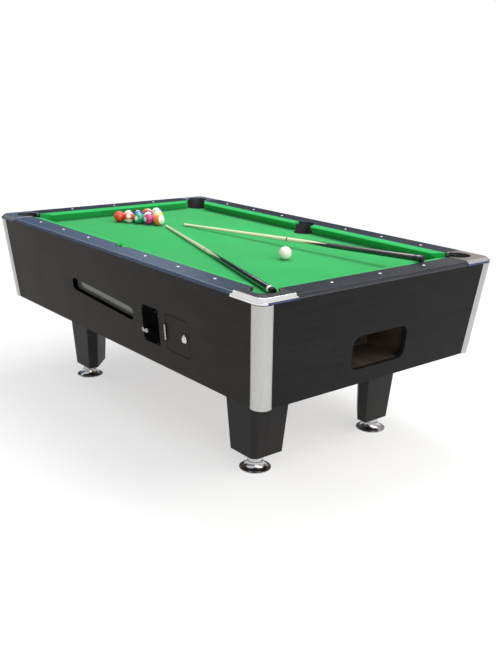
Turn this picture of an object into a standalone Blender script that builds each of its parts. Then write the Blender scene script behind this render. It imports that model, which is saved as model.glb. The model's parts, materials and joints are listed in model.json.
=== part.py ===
"""Coin-operated pool table: cabinet, slate bed, rails, pockets, ball run, coin gear and game set.

Metres, +Z up. The origin is on the floor under the middle of the table. +X runs along the table
to the end with the ball return opening, and the side with the window and coin gear faces -Y.
"""
import math

import bmesh
import bpy
from mathutils import Matrix, Vector

# General fits
GAP = 0.0003                 # between pieces that touch
RUNNING = 0.0008             # round a piece that slides or turns

# Rails and cabinet
TABLE_LENGTH = 2.080         # outside of the rails
TABLE_WIDTH = 1.270
RAIL_EDGE = 0.011            # height of the rail's outer edge
RAIL_EDGE_ROUND = 0.005
RAIL_TOP_WIDTH = 0.100       # outer edge to cushion
RAIL_BLOCK_INSET = 0.050     # outer edge to the block that stands on the slate
PANEL_HEIGHT = 0.4097
PANEL_THICKNESS = 0.022
PANEL_TOP_INSET = 0.002      # rail outline to the panel's top edge
PANEL_BOTTOM_INSET = 0.043   # rail outline to the panel's bottom edge
CORNER_RADIUS = 0.049
FLOOR_THICKNESS = 0.018

# Bed
RAIL_ABOVE_BED = 0.046
CLOTH_THICKNESS = 0.0012
SLATE_THICKNESS = 0.024
SLATE_INSET = 0.075          # rail outline to the slate's edge
BEAM_WIDTH = 0.060
BEAM_HEIGHT = 0.060

# Cushions
CUSHION_DEPTH = 0.038        # rail to nose
CUSHION_TOP_DROP = 0.0015    # rail top to the cushion's back edge
NOSE_DROP = 0.008            # rail top to the nose
NOSE_HEIGHT = 0.006
CUSHION_FOOT_DEPTH = 0.014
CUSHION_FLOOR_GAP = 0.0015
CORNER_CUT = math.radians(49)     # cut of the cushion's end at a corner pocket
CORNER_CLEARANCE = 0.005     # cap's joint to the cushion's back corner
SIDE_CUT = math.radians(9)
SIDE_CLEARANCE = 0.002       # side liner to the cushion's back corner

# Pockets
CORNER_POCKET_INSET = 0.105
CORNER_POCKET_RADIUS = 0.054
SIDE_POCKET_INSET = 0.118
SIDE_POCKET_RADIUS = 0.050
LINER_WALL = 0.004
LINER_BELOW_SLATE = 0.0145
LINER_MOUTH = 0.008          # pocket centre to the open front of its liner

# Corner caps
CAP_REACH_OUTER = 0.190      # corner to the joint, along the outer edge
CAP_LAND = 0.004             # pocket liner to the joint, along the inner edge
CAP_OVERHANG = 0.004
CAP_RISE = 0.0015            # above the rails
CAP_BEVEL_WIDTH = 0.018
CAP_BEVEL_DROP = 0.013
CAP_LIP_DROP = 0.019         # rail top to the lip's lower edge
CAP_LIP_WALL = 0.0052
CAP_CORNER_RADIUS = 0.050

# Legs and feet
LEG_FROM_END = 0.375         # rail outline to the leg's middle
LEG_FROM_SIDE = 0.313
LEG_HEIGHT = 0.340
LEG_BOTTOM_WIDTH = 0.150
LEG_TOP_WIDTH = 0.196
LEG_CORNER_RADIUS = 0.026
LEG_INNER_CUT = 0.100        # diagonal cut of the inner corner, at the bottom
FOOT_OFFSET = 0.020          # leg middle to foot, outwards
FOOT_HEIGHT = 0.065
FOOT_RADIUS = 0.066
FOOT_RIM = 0.005
FOOT_BELL_HEIGHT = 0.034
FOOT_COLLAR_RADIUS = 0.033
STEM_RADIUS = 0.012
STEM_LENGTH = 0.060
SOCKET_SPARE = 0.004

# Window, coin gear and cash door on the front panel
FACE_HEIGHT = 0.1595         # cabinet's bottom to the cash door's middle
WINDOW_COIN_SPACE = 0.076    # window to coin plate
WINDOW_RISE = 0.187          # cabinet's bottom to the window's middle
WINDOW_LENGTH = 0.514
WINDOW_HEIGHT = 0.057
WINDOW_RADIUS = 0.022
WINDOW_SLOPE = math.radians(3.5)
PANE_MARGIN = 0.010
PANE_THICKNESS = 0.004
COIN_DOOR_SPACE = 0.056      # coin plate to cash door
COIN_WIDTH = 0.111
COIN_HEIGHT = 0.152
COIN_FLANGE = 0.010
COIN_PLATE_THICKNESS = 0.003
COIN_CASE_DEPTH = 0.090
SLIDE_DROP = 0.0125          # below the middle of the coin plate
SLIDE_WIDTH = 0.030
SLIDE_HEIGHT = 0.009
SLIDE_TRAVEL = 0.0225        # push of the slide, and the gate's reach into the chute
SLIDE_GRIP_WIDTH = 0.042
SLIDE_GRIP_HEIGHT = 0.018
SLIDE_GRIP_THICKNESS = 0.005
DOOR_FROM_END = 0.523        # foot end to the cash door's middle
DOOR_WIDTH = 0.156
DOOR_HEIGHT = 0.151
DOOR_THICKNESS = 0.004
DOOR_RADIUS = 0.012
DOOR_GAP = 0.0014
HINGE_LENGTH = 0.064
HINGE_RADIUS = 0.004
HINGE_LEAF = 0.010
LOCK_FROM_EDGE = 0.026
LOCK_HEAD_RADIUS = 0.0145
LOCK_HEAD_HEIGHT = 0.010
LOCK_RIM_HEIGHT = 0.006
LOCK_FACE_RADIUS = 0.0109
LOCK_BARREL_RADIUS = 0.009
CAM_LENGTH = 0.042
CAM_WIDTH = 0.014
CAM_THICKNESS = 0.003
CAM_BEHIND = 0.0016          # behind the panel's back
CASH_BOX_WIDTH = 0.140
CASH_BOX_DEPTH = 0.130
CASH_BOX_HEIGHT = 0.125
CASH_BOX_WALL = 0.003
CASH_BOX_FROM_PANEL = 0.016
SHELF_THICKNESS = 0.004
SHELF_FLANGE = 0.040
SHELF_MARGIN = 0.012

# Ball run
BALL_DIAMETER = 0.0572
CHANNEL_WALL = 0.004
GUTTER_WIDTH = 0.108
GUTTER_WALL_HEIGHT = 0.030
GUTTER_CLEARANCE = 0.0048    # over a ball under the liners
GUTTER_FALL = 0.023
FRONT_GUTTER_FROM_HEAD = 0.640    # head end to the gutter's lower end
HEAD_GUTTER_STEP = 0.005     # drop from the rear gutter
HEAD_GUTTER_FALL = 0.012
HEAD_GUTTER_WIDTH = 0.092
TRAY_WIDTH = 0.0735
TRAY_WALL_HEIGHT = 0.016
TRAY_PAST_WINDOW = 0.054
TRAY_PANE_CLEARANCE = 0.003
CHUTE_WIDTH = 0.118          # along the tray
CHUTE_STEP = 0.0084          # drop from the tray's end
CHUTE_FALL = 0.036
RETURN_Y = -0.004
RETURN_RISE = 0.1325         # cabinet's bottom to the middle of the opening
RETURN_WIDTH = 0.302
RETURN_HEIGHT = 0.138
RETURN_RADIUS = 0.034
RETURN_BOX_DEPTH = 0.205
RETURN_BOX_WALL = 0.010
RETURN_BOX_MARGIN = 0.014
GATE_THICKNESS = 0.005
GATE_DEPTH = 0.036
GATE_FLOOR_GAP = 0.020
ROD_HEIGHT = 0.008
ROD_BALL_CLEARANCE = 0.006

# Game set
RACK_FROM_CUSHION = 0.1392   # head cushion's nose to the rack
CUE_BALL_FROM_CUSHION = 0.462
CUE_FRONT_TIP = (0.055, 0.006)    # from the middle of the rack's first ball
CUE_FRONT_WAY = math.radians(-18.2)
CUE_REAR_TIP = (0.068, 0.105)
CUE_REAR_WAY = math.radians(7.4)
CUE_LENGTH = 1.430
CUE_STRAIGHT = 0.358         # behind the tip, before the taper starts
CUE_TIP_RADIUS = 0.0065
CUE_BUTT_RADIUS = 0.0145
NECK_RADIUS = 0.003

HALF_LENGTH = TABLE_LENGTH / 2
HALF_WIDTH = TABLE_WIDTH / 2
LEG_X = HALF_LENGTH - LEG_FROM_END
LEG_Y = HALF_WIDTH - LEG_FROM_SIDE
DOOR_X = HALF_LENGTH - DOOR_FROM_END
COIN_X = DOOR_X - DOOR_WIDTH / 2 - COIN_DOOR_SPACE - COIN_WIDTH / 2
WINDOW_X = COIN_X - COIN_WIDTH / 2 - WINDOW_COIN_SPACE - WINDOW_LENGTH / 2
TRAY_END_X = WINDOW_X + WINDOW_LENGTH / 2 + TRAY_PAST_WINDOW
FRONT_GUTTER_END_X = FRONT_GUTTER_FROM_HEAD - HALF_LENGTH
NOSE_X = HALF_LENGTH - RAIL_TOP_WIDTH - CUSHION_DEPTH
LEG_BOTTOM_Z = FOOT_HEIGHT
CABINET_BOTTOM_Z = LEG_BOTTOM_Z + LEG_HEIGHT
PANEL_TOP_Z = CABINET_BOTTOM_Z + PANEL_HEIGHT
CAP_UNDER_Z = PANEL_TOP_Z + GAP
RAIL_TOP_Z = CAP_UNDER_Z + RAIL_EDGE
BED_Z = RAIL_TOP_Z - RAIL_ABOVE_BED
SLATE_TOP_Z = BED_Z - CLOTH_THICKNESS - GAP
SLATE_BOTTOM_Z = SLATE_TOP_Z - SLATE_THICKNESS
LINER_BOTTOM_Z = SLATE_BOTTOM_Z - LINER_BELOW_SLATE
FLOOR_TOP_Z = CABINET_BOTTOM_Z + FLOOR_THICKNESS
LEAN = (PANEL_BOTTOM_INSET - PANEL_TOP_INSET) / PANEL_HEIGHT
LEAN_ANGLE = math.atan(LEAN)
CAP_REACH_INNER = CORNER_POCKET_INSET + CORNER_POCKET_RADIUS + LINER_WALL + CAP_LAND
CORNER_BACK_END = CAP_REACH_INNER + CORNER_CLEARANCE
CORNER_NOSE_END = CORNER_BACK_END + CUSHION_DEPTH * math.tan(CORNER_CUT)
SIDE_BACK_END = SIDE_POCKET_RADIUS + LINER_WALL + SIDE_CLEARANCE
SIDE_NOSE_END = SIDE_BACK_END + CUSHION_DEPTH * math.tan(SIDE_CUT)
FACE_Z = CABINET_BOTTOM_Z + FACE_HEIGHT
WINDOW_Z = CABINET_BOTTOM_Z + WINDOW_RISE
RETURN_Z = CABINET_BOTTOM_Z + RETURN_RISE
SLIDE_OUT = GAP + COIN_PLATE_THICKNESS + SLIDE_TRAVEL + RUNNING
BALL_RADIUS = BALL_DIAMETER / 2
RACK_PITCH = BALL_DIAMETER + GAP
RACK_ROW_STEP = RACK_PITCH * math.sqrt(3) / 2
RACK_ROWS = 5
RACK_APEX_X = RACK_FROM_CUSHION + BALL_RADIUS + (RACK_ROWS - 1) * RACK_ROW_STEP - NOSE_X
CUE_BALL_X = NOSE_X - CUE_BALL_FROM_CUSHION
GUTTER_HIGH_Z = LINER_BOTTOM_Z - BALL_DIAMETER - GUTTER_CLEARANCE
GUTTER_LOW_Z = GUTTER_HIGH_Z - GUTTER_FALL
HEAD_GUTTER_HIGH_Z = GUTTER_LOW_Z - HEAD_GUTTER_STEP
HEAD_GUTTER_LOW_Z = HEAD_GUTTER_HIGH_Z - HEAD_GUTTER_FALL
ENDS = {"head": -1, "foot": 1}
SIDES = {"front": -1, "rear": 1}


def clear_scene():
    for old in list(bpy.data.objects):
        bpy.data.objects.remove(old, do_unlink=True)


def finish(name, colour, roughness, metallic=0.0):
    material = bpy.data.materials.new(name)
    material.use_nodes = True
    shader = material.node_tree.nodes["Principled BSDF"]
    shader.inputs["Base Color"].default_value = (*colour, 1.0)
    shader.inputs["Roughness"].default_value = roughness
    shader.inputs["Metallic"].default_value = metallic
    material.diffuse_color = (*colour, 1.0)
    return material


def add_object(name, mesh_data, material, parent=None, smooth=None):
    """Link a bmesh as a named object with outward faces; smooth is the sharpest angle left smooth."""
    bmesh.ops.recalc_face_normals(mesh_data, faces=mesh_data.faces)
    mesh = bpy.data.meshes.new(name)
    mesh_data.to_mesh(mesh)
    mesh_data.free()
    if smooth is not None:
        mesh.shade_smooth()
        mesh.set_sharp_from_angle(angle=math.radians(smooth))
    mesh.materials.append(material)
    piece = bpy.data.objects.new(name, mesh)
    bpy.context.scene.collection.objects.link(piece)
    piece.parent = parent
    return piece


def loft(rings):
    """Closed solid through rings of equal point counts, with flat ends."""
    data = bmesh.new()
    rows = [[data.verts.new(point) for point in ring] for ring in rings]
    count = len(rows[0])
    data.faces.new(rows[0])
    data.faces.new(rows[-1])
    for low, high in zip(rows, rows[1:]):
        for i in range(count):
            j = (i + 1) % count
            data.faces.new((low[i], low[j], high[j], high[i]))
    return data


def prism(outline_low, z_low, z_high, outline_high=None):
    """Upright solid between two level outlines."""
    if outline_high is None:
        outline_high = outline_low
    low = [(x, y, z_low) for x, y in outline_low]
    high = [(x, y, z_high) for x, y in outline_high]
    return loft([low, high])


def turned(profile, segments):
    """Solid of revolution about Z; the profile's first and last points are on the axis."""
    data = bmesh.new()
    bottom = data.verts.new((0, 0, profile[0][1]))
    top = data.verts.new((0, 0, profile[-1][1]))
    rows = []
    for radius, z in profile[1:-1]:
        angles = [2 * math.pi * i / segments for i in range(segments)]
        rows.append([data.verts.new((radius * math.cos(a), radius * math.sin(a), z)) for a in angles])
    for i in range(segments):
        j = (i + 1) % segments
        data.faces.new((bottom, rows[0][j], rows[0][i]))
        data.faces.new((top, rows[-1][i], rows[-1][j]))
        for low, high in zip(rows, rows[1:]):
            data.faces.new((low[i], low[j], high[j], high[i]))
    return data


def arc(centre, radius, start, end, steps):
    """Points on an arc, angles in degrees, both ends included."""
    points = []
    for i in range(steps + 1):
        angle = math.radians(start + (end - start) * i / steps)
        points.append((centre[0] + radius * math.cos(angle), centre[1] + radius * math.sin(angle)))
    return points


def rounded_rectangle(width, height, radius, steps=4, centre=(0.0, 0.0)):
    points = []
    for start, sx, sy in ((0, 1, 1), (90, -1, 1), (180, -1, -1), (270, 1, -1)):
        corner = (centre[0] + sx * (width / 2 - radius), centre[1] + sy * (height / 2 - radius))
        points += arc(corner, radius, start, start + 90, steps)
    return points


def rectangle(x_low, y_low, x_high, y_high):
    return [(x_low, y_low), (x_high, y_low), (x_high, y_high), (x_low, y_high)]


def cut(piece, data, name, parent=None):
    """Cut a solid out of a piece with a hidden tool."""
    tool = add_object(name, data, piece.data.materials[0], parent)
    tool.hide_render = True
    tool.display_type = "WIRE"
    step = piece.modifiers.new(name, "BOOLEAN")
    step.operation = "DIFFERENCE"
    step.solver = "EXACT"
    step.object = tool
    return tool


def inset_at(z):
    """Distance from the rail outline to the panels' outer face at a height."""
    return PANEL_TOP_INSET + LEAN * (PANEL_TOP_Z - z)


def inner_x(z):
    return HALF_LENGTH - inset_at(z) - PANEL_THICKNESS


def inner_y(z):
    return HALF_WIDTH - inset_at(z) - PANEL_THICKNESS


def make_finishes():
    return {
        "laminate": finish("cabinet_laminate", (0.030, 0.026, 0.023), 0.42),
        "board": finish("plain_board", (0.30, 0.21, 0.13), 0.70),
        "rail": finish("rail_laminate", (0.060, 0.066, 0.085), 0.35),
        "cloth": finish("green_cloth", (0.055, 0.47, 0.150), 0.92),
        "slate": finish("slate", (0.13, 0.14, 0.15), 0.75),
        "aluminium": finish("satin_aluminium", (0.72, 0.72, 0.70), 0.38, 1.0),
        "chrome": finish("chrome", (0.82, 0.82, 0.84), 0.10, 1.0),
        "black": finish("black_plastic", (0.012, 0.012, 0.013), 0.45),
        "steel": finish("coated_steel", (0.035, 0.034, 0.033), 0.45, 0.4),
        "glass": finish("window_glass", (0.45, 0.48, 0.47), 0.06),
        "ivory": finish("white_ball", (0.86, 0.84, 0.74), 0.10),
        "balls": finish("coloured_balls", (0.70, 0.12, 0.06), 0.10),
        "maple": finish("cue_maple", (0.76, 0.64, 0.44), 0.25),
    }


def make_cabinet(looks):
    """Four leaning panels, the corner trims between them and the floor board."""
    z_low = CABINET_BOTTOM_Z
    z_high = PANEL_TOP_Z
    panels = {}
    for name, side in SIDES.items():
        outlines = []
        for z in (z_low, z_high):
            x = HALF_LENGTH - inset_at(z) - CORNER_RADIUS - GAP
            y = HALF_WIDTH - inset_at(z)
            outlines.append(rectangle(-x, side * y, x, side * (y - PANEL_THICKNESS)))
        data = prism(outlines[0], z_low, z_high, outlines[1])
        panels[name] = add_object(name + "_side_panel", data, looks["laminate"])
    for name, end in ENDS.items():
        outlines = []
        for z in (z_low, z_high):
            x = HALF_LENGTH - inset_at(z)
            y = HALF_WIDTH - inset_at(z) - CORNER_RADIUS - GAP
            outlines.append(rectangle(end * x, -y, end * (x - PANEL_THICKNESS), y))
        data = prism(outlines[0], z_low, z_high, outlines[1])
        panels[name] = add_object(name + "_end_panel", data, looks["laminate"])
    for end_name, end in ENDS.items():
        for side_name, side in SIDES.items():
            outlines = []
            for z in (z_low, z_high):
                x = HALF_LENGTH - inset_at(z) - CORNER_RADIUS
                y = HALF_WIDTH - inset_at(z) - CORNER_RADIUS
                points = arc((x, y), CORNER_RADIUS, 0, 90, 6)
                points += arc((x, y), CORNER_RADIUS - PANEL_THICKNESS, 90, 0, 6)
                outlines.append([(end * px, side * py) for px, py in points])
            data = prism(outlines[0], z_low, z_high, outlines[1])
            name = "corner_trim_%s_%s" % (end_name, side_name)
            add_object(name, data, looks["aluminium"], smooth=40)
    x = inner_x(z_low) - GAP
    y = inner_y(z_low) - GAP
    radius = CORNER_RADIUS - PANEL_THICKNESS - GAP
    outline = rounded_rectangle(2 * x, 2 * y, radius, 3)
    add_object("cabinet_floor", prism(outline, z_low, FLOOR_TOP_Z), looks["board"])
    return panels


def leg_outline(width, inner_cut, end, side):
    """Square with a rounded outer corner and its inner corner cut off."""
    half = width / 2
    radius = LEG_CORNER_RADIUS
    points = [(half, -half)] + arc((half - radius, half - radius), radius, 0, 90, 4)
    points += [(-half, half), (-half, -half + inner_cut), (-half + inner_cut, -half)]
    return [(end * (LEG_X + x), side * (LEG_Y + y)) for x, y in points]


def foot_profile():
    """Levelling foot: rim, bell, collar and stem, from the floor up."""
    profile = [(0.0, 0.0), (FOOT_RADIUS, 0.0), (FOOT_RADIUS, FOOT_RIM)]
    steps = 4
    for i in range(1, steps + 1):
        angle = math.pi / 2 * i / steps
        radius = FOOT_COLLAR_RADIUS + (FOOT_RADIUS - FOOT_COLLAR_RADIUS) * (1 - math.sin(angle))
        profile.append((radius, FOOT_RIM + (FOOT_BELL_HEIGHT - FOOT_RIM) * (1 - math.cos(angle))))
    shoulder = LEG_BOTTOM_Z - GAP
    profile += [(FOOT_COLLAR_RADIUS, shoulder), (STEM_RADIUS, shoulder)]
    profile += [(STEM_RADIUS, shoulder + STEM_LENGTH), (0.0, shoulder + STEM_LENGTH)]
    return profile


def make_legs(looks):
    top_cut = LEG_INNER_CUT * LEG_TOP_WIDTH / LEG_BOTTOM_WIDTH
    for end_name, end in ENDS.items():
        for side_name, side in SIDES.items():
            corner = "%s_%s" % (end_name, side_name)
            low = leg_outline(LEG_BOTTOM_WIDTH, LEG_INNER_CUT, end, side)
            high = leg_outline(LEG_TOP_WIDTH, top_cut, end, side)
            data = prism(low, LEG_BOTTOM_Z, CABINET_BOTTOM_Z - GAP, high)
            leg = add_object("leg_" + corner, data, looks["laminate"], smooth=30)
            foot_x = end * (LEG_X + FOOT_OFFSET)
            foot_y = side * (LEG_Y + FOOT_OFFSET)
            socket = turned([(0.0, -STEM_LENGTH), (STEM_RADIUS + RUNNING, -STEM_LENGTH),
                             (STEM_RADIUS + RUNNING, STEM_LENGTH + SOCKET_SPARE),
                             (0.0, STEM_LENGTH + SOCKET_SPARE)], 12)
            tool = cut(leg, socket, "socket_" + corner)
            tool.location = (foot_x, foot_y, LEG_BOTTOM_Z)
            foot = add_object("levelling_foot_" + corner, turned(foot_profile(), 16),
                              looks["chrome"], smooth=40)
            foot.location = (foot_x, foot_y, 0.0)


def bed_outline(edge, corner_radius, side_radius):
    """Outline of the slate or cloth, notched round the six pockets."""
    steps = 14
    widen = 1 / math.cos(math.radians(150 / steps))
    corner_radius *= widen
    side_radius *= widen
    pocket = CORNER_POCKET_INSET
    corner_turn = math.degrees(math.asin((pocket - edge) / corner_radius))
    side_turn = math.degrees(math.asin((SIDE_POCKET_INSET - edge) / side_radius))
    centre = (HALF_LENGTH - pocket, HALF_WIDTH - pocket)
    middle = (0.0, HALF_WIDTH - SIDE_POCKET_INSET)
    points = []
    for end, side in ((1, 1), (-1, 1), (-1, -1), (1, -1)):
        notch = arc(centre, corner_radius, corner_turn - 90, -180 - corner_turn, steps)
        if end * side < 0:
            notch.reverse()
        points += [(end * x, side * y) for x, y in notch]
        if end == side:
            notch = arc(middle, side_radius, side_turn, -180 - side_turn, steps)
            points += [(side * x, side * y) for x, y in notch]
    return points


def make_bed(looks):
    corner = CORNER_POCKET_RADIUS + LINER_WALL + GAP
    side = SIDE_POCKET_RADIUS + LINER_WALL + GAP
    outline = bed_outline(SLATE_INSET, corner, side)
    add_object("slate_bed", prism(outline, SLATE_BOTTOM_Z, SLATE_TOP_Z), looks["slate"])
    add_object("bed_cloth", prism(outline, SLATE_TOP_Z + GAP, BED_Z), looks["cloth"])
    z_high = SLATE_BOTTOM_Z - GAP
    z_low = z_high - BEAM_HEIGHT
    outlines = []
    for z in (z_low, z_high):
        x = inner_x(z) - GAP
        outlines.append(rectangle(-x, -BEAM_WIDTH / 2, x, BEAM_WIDTH / 2))
    add_object("slate_beam", prism(outlines[0], z_low, z_high, outlines[1]), looks["board"])


def on_rail(where, along, inset, z):
    """World point of a rail section: distance along the rail, inset from the outer edge, height."""
    if where in SIDES:
        return (along, SIDES[where] * (HALF_WIDTH - inset), z)
    return (ENDS[where] * (HALF_LENGTH - inset), along, z)


def joint_reach(inset):
    """Distance from the table's corner to the joint between rail and cap."""
    share = inset / RAIL_TOP_WIDTH
    return CAP_REACH_OUTER + (CAP_REACH_INNER - CAP_REACH_OUTER) * share


def make_rails(looks):
    edge_z = RAIL_TOP_Z - RAIL_EDGE
    top_z = RAIL_TOP_Z
    block_z = BED_Z + GAP
    edge = RAIL_EDGE_ROUND
    section = [(0.0, edge_z), (0.0, top_z - edge), (0.3 * edge, top_z - 0.3 * edge), (edge, top_z),
               (RAIL_TOP_WIDTH, top_z), (RAIL_TOP_WIDTH, block_z), (RAIL_BLOCK_INSET, block_z),
               (RAIL_BLOCK_INSET, edge_z)]
    for where in (*SIDES, *ENDS):
        half = HALF_LENGTH if where in SIDES else HALF_WIDTH
        rings = []
        for way in (-1, 1):
            ring = []
            for inset, z in section:
                ring.append(on_rail(where, way * (half - joint_reach(inset) - GAP), inset, z))
            rings.append(ring)
        rail = add_object("top_rail_" + where, loft(rings), looks["rail"], smooth=50)
        if where in SIDES:
            y = SIDES[where] * (HALF_WIDTH - SIDE_POCKET_INSET)
            steps = 24
            seat = (SIDE_POCKET_RADIUS + LINER_WALL + GAP) / math.cos(math.pi / steps)
            for part, radius, z in (("mouth", SIDE_POCKET_RADIUS, top_z + edge), ("seat", seat, CAP_UNDER_Z)):
                tool = cut(rail, turned([(0.0, block_z - edge), (radius, block_z - edge),
                                         (radius, z), (0.0, z)], steps), "%s_%s" % (part, where))
                tool.location = (0.0, y, 0.0)


def cushion_section():
    """Cushion profile as inset from the rail's outer edge and height, back edge first."""
    back = RAIL_TOP_WIDTH + GAP
    nose = RAIL_TOP_WIDTH + CUSHION_DEPTH
    low = BED_Z + CUSHION_FLOOR_GAP
    nose_z = RAIL_TOP_Z - NOSE_DROP
    return [(back, low), (back, RAIL_TOP_Z - CUSHION_TOP_DROP),
            (back + 0.35 * CUSHION_DEPTH, RAIL_TOP_Z - CUSHION_TOP_DROP - 0.12 * NOSE_DROP),
            (nose - 0.15 * CUSHION_DEPTH, nose_z + 0.35 * NOSE_DROP), (nose, nose_z - 0.2 * NOSE_HEIGHT),
            (nose - 0.05 * CUSHION_DEPTH, nose_z - NOSE_HEIGHT), (back + CUSHION_FOOT_DEPTH, low)]


def make_cushions(looks):
    section = cushion_section()
    back = section[0][0]
    runs = []
    for name in ENDS:
        reach = [HALF_WIDTH - CORNER_BACK_END, HALF_WIDTH - CORNER_NOSE_END]
        runs.append((name, name, (-reach[0], -reach[1]), reach))
    for name in SIDES:
        corner = [HALF_LENGTH - CORNER_BACK_END, HALF_LENGTH - CORNER_NOSE_END]
        middle = [SIDE_BACK_END, SIDE_NOSE_END]
        runs.append((name + "_foot", name, middle, corner))
        runs.append((name + "_head", name, (-corner[0], -corner[1]), (-middle[0], -middle[1])))
    for name, where, start, end in runs:
        rings = []
        for at_back, at_nose in (start, end):
            ring = []
            for inset, z in section:
                share = (inset - back) / CUSHION_DEPTH
                ring.append(on_rail(where, at_back + (at_nose - at_back) * share, inset, z))
            rings.append(ring)
        add_object("cushion_" + name, loft(rings), looks["cloth"], smooth=45)


def cap_outline(outset, spare, hole_radius):
    """Corner cap seen from above, as distances in from the table's end and side."""
    corner = CAP_CORNER_RADIUS
    reach = joint_reach(-outset) + spare
    inner = CAP_REACH_INNER + spare
    pocket = (CORNER_POCKET_INSET, CORNER_POCKET_INSET)
    points = [(reach, -outset)]
    points += arc((corner, corner), corner + outset, 270, 180, 5)
    points += [(-outset, reach), (RAIL_TOP_WIDTH, inner)]
    points += arc(pocket, hole_radius, 100, 350, 12)
    points += [(inner, RAIL_TOP_WIDTH)]
    return points


def make_caps(looks):
    lip_z = RAIL_TOP_Z - CAP_LIP_DROP
    bevel_z = RAIL_TOP_Z - CAP_BEVEL_DROP
    top_z = RAIL_TOP_Z + CAP_RISE
    levels = ((CAP_OVERHANG, lip_z), (CAP_OVERHANG, bevel_z), (CAP_OVERHANG - CAP_BEVEL_WIDTH, top_z))
    spare = 0.25 * CORNER_POCKET_RADIUS
    for end_name, end in ENDS.items():
        for side_name, side in SIDES.items():
            corner = "%s_%s" % (end_name, side_name)

            def place(outline):
                return [(end * (HALF_LENGTH - a), side * (HALF_WIDTH - b)) for a, b in outline]

            rings = []
            for outset, z in levels:
                outline = place(cap_outline(outset, 0.0, CORNER_POCKET_RADIUS))
                rings.append([(x, y, z) for x, y in outline])
            cap = add_object("corner_cap_" + corner, loft(rings), looks["aluminium"], smooth=30)
            hollow = cap_outline(CAP_OVERHANG - CAP_LIP_WALL, spare, CORNER_POCKET_RADIUS - spare)
            cut(cap, prism(place(hollow), lip_z - spare, CAP_UNDER_Z), "cap_hollow_" + corner)


def tube(inner_radius, outer_radius, z_low, z_high, segments):
    data = bmesh.new()
    rows = []
    for radius, z in ((outer_radius, z_low), (outer_radius, z_high), (inner_radius, z_high),
                      (inner_radius, z_low)):
        angles = [2 * math.pi * i / segments for i in range(segments)]
        rows.append([data.verts.new((radius * math.cos(a), radius * math.sin(a), z)) for a in angles])
    for low, high in zip(rows, rows[1:] + rows[:1]):
        for i in range(segments):
            j = (i + 1) % segments
            data.faces.new((low[i], low[j], high[j], high[i]))
    return data


def make_liners(looks):
    """Pocket liners: round sleeves whose upper front is open towards the bed."""
    top_z = CAP_UNDER_Z - GAP
    places = []
    for end_name, end in ENDS.items():
        for side_name, side in SIDES.items():
            x = end * (HALF_LENGTH - CORNER_POCKET_INSET)
            y = side * (HALF_WIDTH - CORNER_POCKET_INSET)
            turn = math.atan2(-side, -end)
            places.append(("%s_%s" % (end_name, side_name), x, y, turn, CORNER_POCKET_RADIUS))
    for side_name, side in SIDES.items():
        y = side * (HALF_WIDTH - SIDE_POCKET_INSET)
        turn = -side * math.pi / 2
        places.append(("side_" + side_name, 0.0, y, turn, SIDE_POCKET_RADIUS))
    for name, x, y, turn, radius in places:
        data = tube(radius, radius + LINER_WALL, LINER_BOTTOM_Z, top_z, 20)
        liner = add_object("pocket_liner_" + name, data, looks["black"], smooth=40)
        liner.location = (x, y, 0.0)
        reach = 2 * radius
        mouth = cut(liner, prism(rectangle(LINER_MOUTH, -reach, reach, reach), SLATE_TOP_Z, BED_Z + reach),
                    "mouth_" + name)
        mouth.location = (x, y, 0.0)
        mouth.rotation_euler = (0.0, 0.0, turn)


def front_frame():
    """Empty on the front panel's face: local X along the table, Y up the face, Z outwards."""
    frame = bpy.data.objects.new("front_face", None)
    bpy.context.scene.collection.objects.link(frame)
    frame.location = (0.0, -(HALF_WIDTH - inset_at(FACE_Z)), FACE_Z)
    frame.rotation_euler = (math.pi / 2 + LEAN_ANGLE, 0.0, 0.0)
    return frame


def up_face(z):
    """Distance up the face, from the frame's origin to a height."""
    return (z - FACE_Z) / math.cos(LEAN_ANGLE)


def make_window(looks, frame, panel):
    depth = PANEL_THICKNESS * math.cos(LEAN_ANGLE)
    place = (WINDOW_X, up_face(WINDOW_Z), 0.0)
    turn = (0.0, 0.0, -WINDOW_SLOPE)
    slot = prism(rounded_rectangle(WINDOW_LENGTH, WINDOW_HEIGHT, WINDOW_RADIUS), -2 * depth, depth)
    tool = cut(panel, slot, "window_slot", frame)
    tool.location = place
    tool.rotation_euler = turn
    back = -depth - GAP
    outline = rounded_rectangle(WINDOW_LENGTH + 2 * PANE_MARGIN, WINDOW_HEIGHT + 2 * PANE_MARGIN,
                                PANE_MARGIN, 2)
    pane = add_object("window_pane", prism(outline, back - PANE_THICKNESS, back), looks["glass"], frame)
    pane.location = place
    pane.rotation_euler = turn


def rod_level():
    """Underside of the gate's rod, up the face from the slide's middle, clear of balls in the chute."""
    near, far, floor_z = chute_at(COIN_X)
    run = (near + HALF_WIDTH - inset_at(FACE_Z)) / math.cos(LEAN_ANGLE)
    height = floor_z + BALL_DIAMETER + ROD_BALL_CLEARANCE
    return (height - FACE_Z - run * math.sin(LEAN_ANGLE)) / math.cos(LEAN_ANGLE) + SLIDE_DROP


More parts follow.
